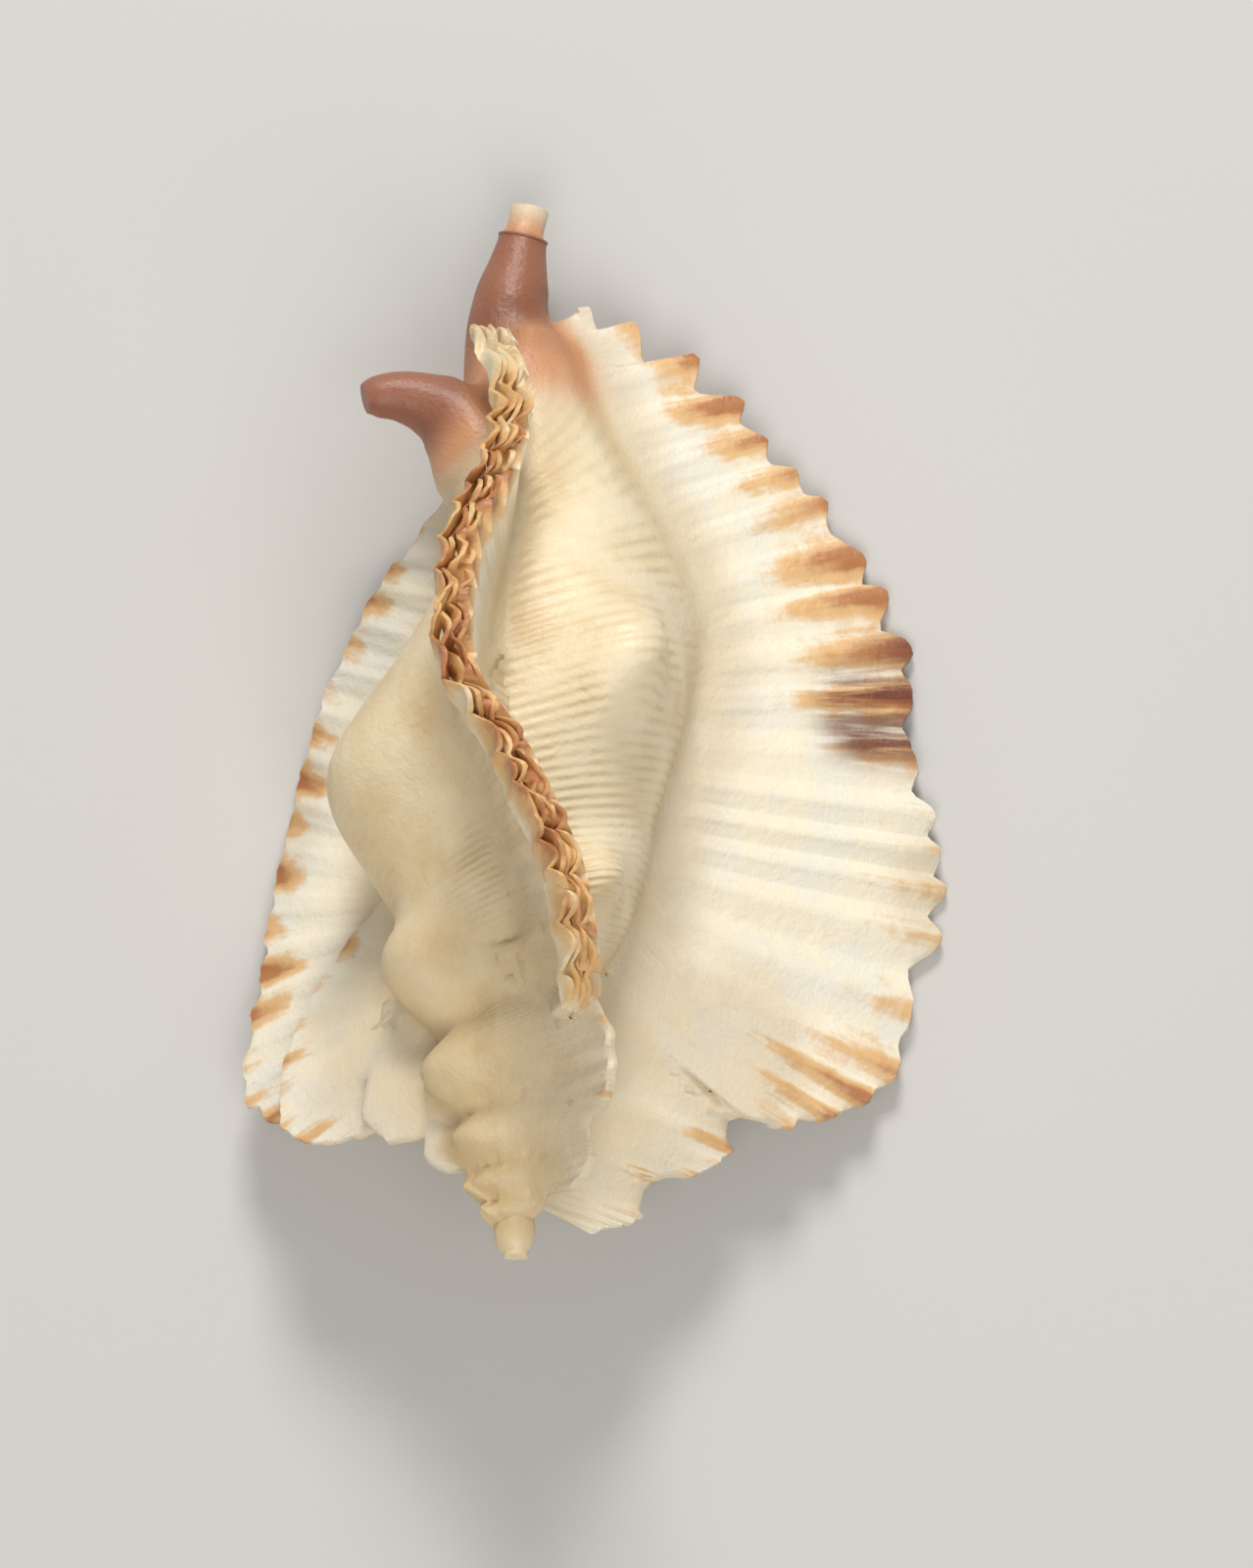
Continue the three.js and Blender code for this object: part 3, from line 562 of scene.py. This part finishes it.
def plate_tree():
    """Sets a frilled plate in its place behind the edge, by its order, a little unevenly."""
    tree, given = new_tree("frilled_plate", [
        ("Order", "Int"), ("Middle", "Float"), ("Gap", "Float"), ("Drop", "Float"),
        ("Unevenness", "Float"), ("Seed", "Int"), ("Material", "Material")])
    side, out = named(tree, "side", "FLOAT_VECTOR"), named(tree, "out", "FLOAT_VECTOR")
    order = math_node(tree, "SUBTRACT", given.outputs["Order"], given.outputs["Middle"])
    place = add_node(tree, "GeometryNodeInputPosition").outputs[0]
    turn = math_node(tree, "ADD", math_node(tree, "MULTIPLY", order, 3.7), given.outputs["Seed"])
    # Ripples about 2 mm long.
    ripple = add_node(tree, "ShaderNodeTexNoise", {"Vector": place, "W": turn, "Scale": 480.0, "Detail": 2.0},
                      noise_dimensions="4D").outputs["Fac"]
    ripple = math_node(tree, "SUBTRACT", ripple, 0.5)
    ripple = math_node(tree, "MULTIPLY", ripple, given.outputs["Unevenness"])
    across = math_node(tree, "ADD", math_node(tree, "MULTIPLY", order, given.outputs["Gap"]), ripple)
    inwards = math_node(tree, "MULTIPLY", given.outputs["Order"], given.outputs["Drop"])
    inwards = math_node(tree, "MULTIPLY", inwards, -1.0)
    inwards = math_node(tree, "SUBTRACT", inwards, ripple)
    a = add_node(tree, "ShaderNodeVectorMath", {0: side, "Scale": across}, operation="SCALE").outputs[0]
    b = add_node(tree, "ShaderNodeVectorMath", {0: out, "Scale": inwards}, operation="SCALE").outputs[0]
    shift = add_node(tree, "ShaderNodeVectorMath", {0: a, 1: b}, operation="ADD").outputs[0]
    moved = add_node(tree, "GeometryNodeSetPosition", {
        "Geometry": given.outputs["Geometry"], "Offset": shift})
    close_tree(tree, moved.outputs[0], given.outputs["Material"])
    return tree


def linear(hex_colour):
    """sRGB hex to linear RGBA."""
    values = [int(hex_colour[i:i + 2], 16) / 255 for i in (1, 3, 5)]
    return (*[v / 12.92 if v <= 0.04045 else ((v + 0.055) / 1.055)**2.4 for v in values], 1.0)


def add_node(tree, kind, inputs=None, **settings):
    """Adds a node, sets its settings, and fills or links its inputs."""
    node = tree.nodes.new(kind)
    for name, value in settings.items():
        setattr(node, name, value)
    for name, value in (inputs or {}).items():
        socket = node.inputs[name]
        if isinstance(value, bpy.types.NodeSocket):
            tree.links.new(value, socket)
        else:
            socket.default_value = value
    return node


def ramp(tree, factor, stops):
    """Value ramp through (position, colour) stops."""
    node = add_node(tree, "ShaderNodeValToRGB", {"Fac": factor})
    for number, (position, colour) in enumerate(stops):
        item = node.color_ramp.elements[number] if number < 2 else node.color_ramp.elements.new(position)
        item.position, item.color = position, colour
    return node.outputs["Color"]


def mix(tree, factor, a, b, blend="MIX"):
    """Colour mix of two sockets or colours."""
    node = add_node(tree, "ShaderNodeMix", data_type="RGBA", blend_type=blend)
    for number, value in ((0, factor), (6, a), (7, b)):
        socket = node.inputs[number]
        if isinstance(value, bpy.types.NodeSocket):
            tree.links.new(value, socket)
        else:
            socket.default_value = value
    return node.outputs[2]


def math_node(tree, operation, a, b=0.0, clamp=False):
    """One arithmetic step on sockets or numbers."""
    node = add_node(tree, "ShaderNodeMath", {0: a, 1: b}, operation=operation, use_clamp=clamp)
    return node.outputs[0]


def noise(tree, scale, detail, roughness=0.5, vector=None, distortion=0.0):
    """Noise between 0 and 1 on the object's own coordinates, or on another vector."""
    if vector is None:
        vector = add_node(tree, "ShaderNodeTexCoord").outputs["Object"]
    return add_node(tree, "ShaderNodeTexNoise", {
        "Vector": vector, "Scale": scale, "Detail": detail, "Roughness": roughness,
        "Distortion": distortion}).outputs["Fac"]


def aragonite(opts):
    """Aragonite shell, grown in thin layers: cream, bluish where thin, brown at the edges, soft gloss, and
    painted shade in the creases.
    """
    material = bpy.data.materials.new("grown_aragonite")
    material.use_nodes = True
    tree = material.node_tree
    tree.nodes.clear()
    paint = {name: add_node(tree, "ShaderNodeAttribute", attribute_name=name).outputs["Fac"]
             for name in Skin.PAINT + ("calm", "crease_shade")}
    times = lambda a, b: math_node(tree, "MULTIPLY", a, b)
    plus = lambda a, b: math_node(tree, "ADD", a, b)
    less = lambda a, b: math_node(tree, "SUBTRACT", a, b)
    open_part = math_node(tree, "SUBTRACT", 1.0, paint["calm"], clamp=True)
    # Streaks that run along the ribs from the edge inwards, about 0.3 mm wide.
    lines = add_node(tree, "ShaderNodeCombineXYZ", {
        "X": times(paint["rib"], 1.4), "Y": times(paint["edge"], 3.0)}).outputs[0]
    streak = noise(tree, 1.0, 4.0, 0.6, vector=lines)
    # Clouds about 5 mm wide, blotches of 1.5 mm and grain of 0.3 mm.
    cloud = noise(tree, 190.0, 5.0, 0.55)
    blotch = noise(tree, 620.0, 4.0, 0.6, distortion=0.4)
    grain = noise(tree, 3000.0, 3.0)
    warm = math_node(tree, "ADD", paint["warm"], times(less(cloud, 0.5), 0.8), clamp=True)
    colour = ramp(tree, warm, [(0.0, linear("#F9EFD8")), (1.0, linear("#C9A56E")),
                               (0.35, linear("#F4E3BF")), (0.7, linear("#E3C896"))])
    # Thin bluish-white shell in the hollows of the wings.
    thin = times(step_node(tree, paint["edge"], 0.15, 0.6), step_node(tree, cloud, 0.44, 0.6))
    thin = times(thin, step_node(tree, paint["warm"], 0.45, 0.15))
    colour = mix(tree, times(thin, 0.45), colour, linear("#ECEEE8"))
    # Brown edge: yellow where it fades, orange-brown where strong, purple-brown in the heavy patches.
    noisy = plus(times(paint["stain"], 1.3 * opts.stain_strength),
                 times(less(streak, 0.52), times(open_part, 0.7)))
    noisy = plus(noisy, times(less(blotch, 0.52), 0.55))
    present = step_node(tree, paint["stain"], 0.0, 0.12)
    faint = times(step_node(tree, noisy, 0.1, 0.42), present)
    strong = times(step_node(tree, noisy, 0.4, 0.85), present)
    colour = mix(tree, times(faint, 0.8), colour, tuple(opts.pale_stain))
    colour = mix(tree, times(strong, 0.85), colour, tuple(opts.stain))
    heavy = times(paint["dark"], step_node(tree, streak, 0.25, 0.6))
    colour = mix(tree, times(heavy, 0.92), colour, tuple(opts.patch))
    # Pink-brown canal and spur, peach where they meet the body.
    colour = mix(tree, step_node(tree, paint["pink"], 0.05, 0.5), colour, linear("#E2A578"))
    colour = mix(tree, times(step_node(tree, paint["pink"], 0.45, 0.9), 0.9), colour, tuple(opts.canal))
    # Painted shade: the creases where a wing leaves the body are multiplied towards grey-beige, most strongly
    # at the joint.
    colour = mix(tree, times(paint["crease_shade"], 0.5), colour, linear("#D8CDBA"), "MULTIPLY")
    # Spiral cords, growth lines and grain in the relief.
    cord = math_node(tree, "SINE", times(paint["rib"], 2 * math.pi))
    cord = times(cord, times(open_part, step_node(tree, cloud, 0.32, 0.6)))
    cord = times(cord, paint["relief"])
    height = plus(plus(times(cord, 0.4), times(grain, 0.35)), times(blotch, 0.9))
    bump = add_node(tree, "ShaderNodeBump", {"Strength": 0.7, "Distance": 0.22 * MM, "Height": height})
    shader = add_node(tree, "ShaderNodeBsdfPrincipled", {
        "Base Color": colour, "Roughness": 0.45, "IOR": 1.53, "Normal": bump.outputs["Normal"],
        "Subsurface Weight": 0.06, "Subsurface Radius": (1.0, 0.7, 0.4), "Subsurface Scale": 1 * MM})
    out = add_node(tree, "ShaderNodeOutputMaterial")
    tree.links.new(shader.outputs[0], out.inputs["Surface"])
    return material


def step_node(tree, socket, low, high):
    """Smooth step of a socket between two values."""
    node = add_node(tree, "ShaderNodeMapRange", {"Value": socket, "From Min": low, "From Max": high},
                    interpolation_type="SMOOTHSTEP", clamp=True)
    return node.outputs["Result"]


def joints_of(mesh, before=ALL_SOURCES):
    """The points where two of the sources before a number meet, as numbers of points."""
    source = np.empty(len(mesh.polygons), int)
    mesh.attributes["source"].data.foreach_get("value", source)
    corners = np.empty(len(mesh.loops), int)
    mesh.loops.foreach_get("vertex_index", corners)
    totals = np.empty(len(mesh.polygons), int)
    mesh.polygons.foreach_get("loop_total", totals)
    owner = np.repeat(source, totals)
    low, high = np.full(len(mesh.vertices), 999), np.full(len(mesh.vertices), -1)
    np.minimum.at(low, corners, owner)
    np.maximum.at(high, corners, owner)
    return np.flatnonzero((low != high) & (high < before))


def away_from(points, joints):
    """How far each point is from the nearest joint."""
    tree = kdtree.KDTree(len(joints))
    for number, i in enumerate(joints):
        tree.insert(points[i], number)
    tree.balance()
    return np.array([tree.find(point)[2] for point in points])


def soften_joins(mesh, passes, reach):
    """Rounds the creases where wings and stems meet the body and each other."""
    count = len(mesh.vertices)
    points = places_of(mesh)
    weight = (1 - np.minimum(away_from(points, joints_of(mesh)) / reach, 1))**0.6
    a, b = edges_of(mesh)
    degree = np.bincount(a, minlength=count) + np.bincount(b, minlength=count)
    for _ in range(passes):
        total = np.zeros((count, 3))
        for axis in range(3):
            total[:, axis] = (np.bincount(a, points[b, axis], count) + np.bincount(b, points[a, axis], count))
        points += weight[:, None] * 0.6 * (total / np.maximum(degree, 1)[:, None] - points)
    mesh.vertices.foreach_set("co", points.reshape(-1))
    mesh.update()


def mark_joints(mesh, calm_reach, crease_shade_reach, plates_from):
    """Marks how near each point is to a joint: patterns fade out before they meet, and the creases between
    wings and body, which come before the plates, get painted shade."""
    # The second mark carries painted shade in the creases between wings and body.
    marks = (("calm", calm_reach, ALL_SOURCES), ("crease_shade", crease_shade_reach, plates_from))
    for name, reach, before in marks:
        away = away_from(places_of(mesh), joints_of(mesh, before))
        layer = mesh.attributes.new(name, "FLOAT", "POINT")
        layer.data.foreach_set("value", 1 - step(0.2, 1.0, away / reach))


def spread_paint(mesh, sources):
    """Gives every point of the joined mesh the paint of the nearest points of what it came from.

    Broad colours then spread into each other over the joins, as they do in one growing shell."""
    points = np.concatenate([place for place, _ in sources])
    paint = np.concatenate([paint for _, paint in sources])
    tree = kdtree.KDTree(len(points))
    for number, point in enumerate(points):
        tree.insert(point, number)
    tree.balance()
    values = np.zeros((len(mesh.vertices), paint.shape[1]))
    rib = Skin.PAINT.index("rib")
    for vertex in mesh.vertices:
        found = tree.find_n(vertex.co, 4)
        first = paint[found[0][1]][rib]
        near = [(i, 1 / (d + 1e-5)) for _, i, d in found if abs(paint[i][rib] - first) < 2]
        total = sum(w for _, w in near)
        values[vertex.index] = sum(paint[i] * w for i, w in near) / total
    a, b = edges_of(mesh)
    degree = np.maximum(np.bincount(a, minlength=len(values)) + np.bincount(b, minlength=len(values)), 1)
    for name in ("warm", "pink", "relief"):
        number = Skin.PAINT.index(name)
        for _ in range(SPREAD_PASSES):
            now = values[:, number]
            total = np.bincount(a, now[b], len(now)) + np.bincount(b, now[a], len(now))
            values[:, number] = 0.5 * now + 0.5 * total / degree
    for number, name in enumerate(Skin.PAINT):
        layer = mesh.attributes.new(name, "FLOAT", "POINT")
        layer.data.foreach_set("value", values[:, number])


def colour_setting(name, description, hex_colour):
    """A colour that the user can change."""
    return bpy.props.FloatVectorProperty(name=name, description=description, subtype="COLOR", size=4,
                                         min=0.0, max=1.0, default=linear(hex_colour))


class ShellSettings(bpy.types.PropertyGroup):
    """Sizes and looks of the shell."""
    edge_thickness: bpy.props.FloatProperty(
        name="Edge thickness", description="Thickness of the wings at their edge, in millimetres",
        default=0.8, min=0.4, max=1.0)
    flute_height: bpy.props.FloatProperty(
        name="Flute height", description="Height of a flute as a share of its width",
        default=0.19, min=0.0, max=0.3, subtype="FACTOR")
    plates: bpy.props.IntProperty(
        name="Plates", description="Frilled plates on the middle fin's edge", default=4, min=0, max=6)
    stain_strength: bpy.props.FloatProperty(
        name="Stain strength", description="How brown the edges are", default=1.0, min=0.0, max=1.5)
    seed: bpy.props.IntProperty(name="Seed", description="Seed of the small irregularities", default=5)
    pale_stain: colour_setting("Pale stain", "Colour where the stain of an edge fades", "#E4AE63")
    stain: colour_setting("Stain", "Colour of the stained edges", "#AF6838")
    patch: colour_setting("Patch", "Colour of the heavy patches on the right wing", "#6A3424")
    canal: colour_setting("Canal", "Colour of the canal and the spur", "#945B44")


class SHELL_OT_grow(bpy.types.Operator):
    """Grow the shell: body, wings, frilled plates, canal, spur and mouth, as one closed piece"""
    bl_idname = "shell.grow"
    bl_label = "Grow shell"

    def execute(self, context):
        opts = context.scene.shell_settings
        thick, flute, seed = opts.edge_thickness, opts.flute_height, opts.seed
        material = aragonite(opts)
        first = body_skin(BODY_COLUMNS, BODY_ROWS)
        piece = add_mesh("shell", first.points, first.faces, 0)
        sources = [(places_of(piece.data), first.paint)]

        def join(skin, operation="UNION"):
            other = add_mesh("joined", skin.points, skin.faces, len(sources))
            sources.append((places_of(other.data), skin.paint))
            combine(piece, other, operation)

        def wing(*values, warm, **more):
            front, back, paint = wing_grids(*values, **more)
            join(ring_skin(front, back, {**paint, "warm": warm[0] * (1 - 0.5 * paint["edge"])},
                           {**paint, "warm": warm[1] * (1 - 0.5 * paint["edge"])}))

        wing(RIGHT_WING, RIGHT_LOOKS, ROOTS["R"], SWEEP["R"], 8, 34, thick, flute, seed, PURPLE_PATCHES,
             warm=(0.25, 0.2), knobs_to=KNOBS_TO)
        # The middle fin's smooth left face is a darker warm beige than its right face: partly the shell's
        # warm tone, partly painted shade on the face turned away from the light.
        wing(FRONT_FIN, FRONT_LOOKS, ROOTS["F"], SWEEP["F"], 8, 26, FIN_EDGE_THICKNESS, flute * 0.6, seed + 1,
             reach_cut=FIN_CUT, warm=(0.75, 0.3))
        wing(LEFT_WING, LEFT_LOOKS, ROOTS["L"], SWEEP["L"], 8, 22, thick, flute, seed + 2, warm=(0.35, 0.2))
        tips = {"R": RIGHT_WING, "F": FRONT_FIN, "L": LEFT_WING}
        # The front ones are as warm as the spire that they stand on.
        warmth = {"R": (0.4, 0.35), "F": (0.6, 0.6), "L": (0.4, 0.35)}
        back_turn = {"R": BACK_TURN, "F": BACK_TURN, "L": OLDER_BACK_TURN}
        for number, (kind, start, radial, along, turned, root, sweep, brown) in enumerate(OLDER_BLADES):
            own = tips[kind][start:] * [radial, along, 1] + [0, 0, turned]
            if kind == "L":
                # Their first tips are drawn in, so that they look out from under the blade before.
                own[:5, 0] *= 1 - 0.3 * (1 - np.arange(5) / 4)**1.5
            looks = [[0.12, 0.6, brown * (0.5 + 0.5 * (i % 3 == 1))] for i in range(len(own))]
            wing(own, looks, root, sweep, 6, 14, min(thick, 0.7), flute, seed + 20 + number,
                 relief=0.12, back_turn=back_turn[kind], warm=warmth[kind])

        tree = stem_tree()
        # With each stem: over which distances from its end its colour comes in.
        for path, end, operation in ((CANAL_PATH, (17, 7.5), "UNION"), (SPUR_PATH, (12, 3.5), "UNION"),
                                     (CANAL_BORE, (9, 7), "DIFFERENCE")):
            if path is CANAL_BORE:
                soften_joins(piece.data, 24, 2 * MM)
            line, points, from_end = self.stem(path, tree, material, len(sources))
            paint = np.zeros((len(points), len(Skin.PAINT)))
            pink = step(*end, from_end)
            if path is CANAL_PATH:
                # Ochre beyond the collar, and a white rim.
                pink *= (0.3 + 0.7 * step(1.5, 2.3, from_end)) * step(0.35, 0.6, from_end)
            paint[:, Skin.PAINT.index("pink")] = pink
            paint[:, Skin.PAINT.index("warm")] = 0.3
            sources.append((points, paint))
            combine(piece, line, operation)

        tree, plates_from = plate_tree(), len(sources)
        for order in range(opts.plates):
            skin, side, out = plate_skin(FRONT_FIN, FRONT_LOOKS, 10, PLATE_SHARE, PLATE_THICKNESS, 0.75,
                                         seed + 3 + 2 * order)
            plate = add_mesh("plate", skin.points, skin.faces, len(sources))
            for label, vectors in (("side", side), ("out", out)):
                layer = plate.data.attributes.new(label, "FLOAT_VECTOR", "POINT")
                layer.data.foreach_set("vector", (vectors @ laid_matrix().T).reshape(-1))
            grow_by_nodes(plate, tree, Order=order, Middle=2.3, Gap=PLATE_GAP * MM, Drop=PLATE_DROP * MM,
                          Unevenness=PLATE_UNEVENNESS * MM, Seed=seed, Material=material)
            sources.append((places_of(plate.data), skin.paint))
            combine(piece, plate, "UNION")
        join(ball_skin(*APEX, 32, 20, {"warm": 0.6}))
        join(ball_skin(*MOUTH_LOBE, 40, 30, {"warm": 0.3}))
        join(ball_skin(*MOUTH_RIM, 40, 24, {"warm": 0.15}))
        join(ball_skin(*MOUTH, 40, 30, {"warm": 0.1}), "DIFFERENCE")
        bpy.ops.mesh.primitive_cube_add(size=1, location=(0, 0, -0.05))
        below = context.active_object
        below.scale = (0.3, 0.3, 0.1)
        bpy.ops.object.transform_apply(location=True, rotation=True, scale=True)
        combine(piece, below, "DIFFERENCE")
        piece.data.validate()
        spread_paint(piece.data, sources)
        # Patterns fade within 1.4 mm of every joint; painted crease shade reaches 4.5 mm from the joints
        # between wings and body.
        mark_joints(piece.data, 1.4 * MM, 4.5 * MM, plates_from)
        piece.data.materials.clear()
        piece.data.materials.append(material)
        piece.data.polygons.foreach_set("material_index", [0] * len(piece.data.polygons))
        piece.data.shade_smooth()
        piece.data.set_sharp_from_angle(angle=math.radians(50))
        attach(piece, "root")
        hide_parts("shell")
        print("triangles", sum(len(p.vertices) - 2 for p in piece.data.polygons))
        return {"FINISHED"}

    def stem(self, path, tree, material, source):
        """A round stem along a path, its points, and how far each is from the path's end in millimetres."""
        rows = along_rows(path, np.linspace(0, len(path) - 1, (len(path) - 1) * 8 + 1))
        line = add_mesh("stem", rows[:, :3], [], 0, [(i, i + 1) for i in range(len(rows) - 1)])
        wide = line.data.attributes.new("radius", "FLOAT", "POINT")
        wide.data.foreach_set("value", rows[:, 3] * MM)
        grow_by_nodes(line, tree, Sides=32, Material=material)
        marks = line.data.attributes.new("source", "INT", "FACE")
        marks.data.foreach_set("value", [source] * len(line.data.polygons))
        points = places_of(line.data)
        near = np.linalg.norm(points[:, None] - laid(rows[:, :3])[None], axis=2).argmin(1)
        return line, points, np.linalg.norm(rows[near, :3] - rows[-1, :3], axis=1)


class SHELL_OT_stage(bpy.types.Operator):
    """Lay out the floor, the soft lights and the camera"""
    bl_idname = "shell.stage"
    bl_label = "Set stage"

    def execute(self, context):
        mesh = bpy.data.meshes.new("floor")
        mesh.from_pydata([(-2, -2, 0), (2, -2, 0), (2, 2, 0), (-2, 2, 0)], [], [(0, 1, 2, 3)])
        floor = bpy.data.objects.new("floor", mesh)
        context.scene.collection.objects.link(floor)
        paper = bpy.data.materials.new("matt_paper")
        paper.use_nodes = True
        shader = paper.node_tree.nodes["Principled BSDF"]
        shader.inputs["Base Color"].default_value = linear("#CFCCC6")
        shader.inputs["Roughness"].default_value = 0.9
        mesh.materials.append(paper)
        world = bpy.data.worlds.new("studio")
        world.use_nodes = True
        world.node_tree.nodes["Background"].inputs["Color"].default_value = (0.95, 0.96, 1.0, 1.0)
        world.node_tree.nodes["Background"].inputs["Strength"].default_value = 0.3
        context.scene.world = world
        context.scene.view_settings.view_transform = "Standard"
        lamps = (("key", (0.02, 0.5, 0.42), 0.2, 2.9), ("fill", (0.06, -0.4, 0.6), 0.5, 2.7))
        for name, place, size, power in lamps:
            lamp = bpy.data.lights.new(name, "AREA")
            lamp.size, lamp.energy = size, power
            light = bpy.data.objects.new(name, lamp)
            light.location = place
            light.rotation_euler = (Vector((0, 0, 0.01)) - Vector(place)).to_track_quat("-Z", "Y").to_euler()
            context.scene.collection.objects.link(light)
        turn = laid_matrix()
        tilt = math.radians(VIEW_TILT)
        across, along = VIEW_CENTRE
        centre = turn @ [across, math.cos(tilt) * along, math.sin(tilt) * along] + np.array(LAID_SHIFT)
        sight = turn @ np.array([0, -math.sin(tilt), math.cos(tilt)])
        rise = turn @ np.array([0, math.cos(tilt), math.sin(tilt)])
        rightwards = np.cross(rise, sight)
        lens = bpy.data.cameras.new("camera")
        lens.sensor_fit, lens.sensor_height, lens.sensor_width = "VERTICAL", 24.0, 24.0
        lens.lens = lens.sensor_height * VIEW_DISTANCE / (PHOTO_HEIGHT / PIXELS_PER_MM * MM)
        lens.clip_end = 20
        camera = bpy.data.objects.new("camera", lens)
        axes = Matrix(np.stack([rightwards, rise, sight], 1).tolist()).to_4x4()
        axes.translation = Vector(centre * MM + sight * VIEW_DISTANCE)
        camera.matrix_world = axes
        context.scene.collection.objects.link(camera)
        context.scene.camera = camera
        return {"FINISHED"}


class SHELL_PT_panel(bpy.types.Panel):
    """Settings and buttons in the 3D view's sidebar"""
    bl_label = "Shell"
    bl_idname = "SHELL_PT_panel"
    bl_space_type = "VIEW_3D"
    bl_region_type = "UI"
    bl_category = "Shell"

    def draw(self, context):
        opts = context.scene.shell_settings
        for name in ("edge_thickness", "flute_height", "plates", "stain_strength", "seed", "pale_stain",
                     "stain", "patch", "canal"):
            self.layout.prop(opts, name)
        self.layout.operator("shell.grow")
        self.layout.operator("shell.stage")


CLASSES = (ShellSettings, SHELL_OT_grow, SHELL_OT_stage, SHELL_PT_panel)


def register():
    for cls in CLASSES:
        bpy.utils.register_class(cls)
    bpy.types.Scene.shell_settings = bpy.props.PointerProperty(type=ShellSettings)


def unregister():
    del bpy.types.Scene.shell_settings
    for cls in reversed(CLASSES):
        bpy.utils.unregister_class(cls)


def main():
    register()
    bpy.ops.shell.grow()
    bpy.ops.shell.stage()


if __name__ == "__main__":
    main()
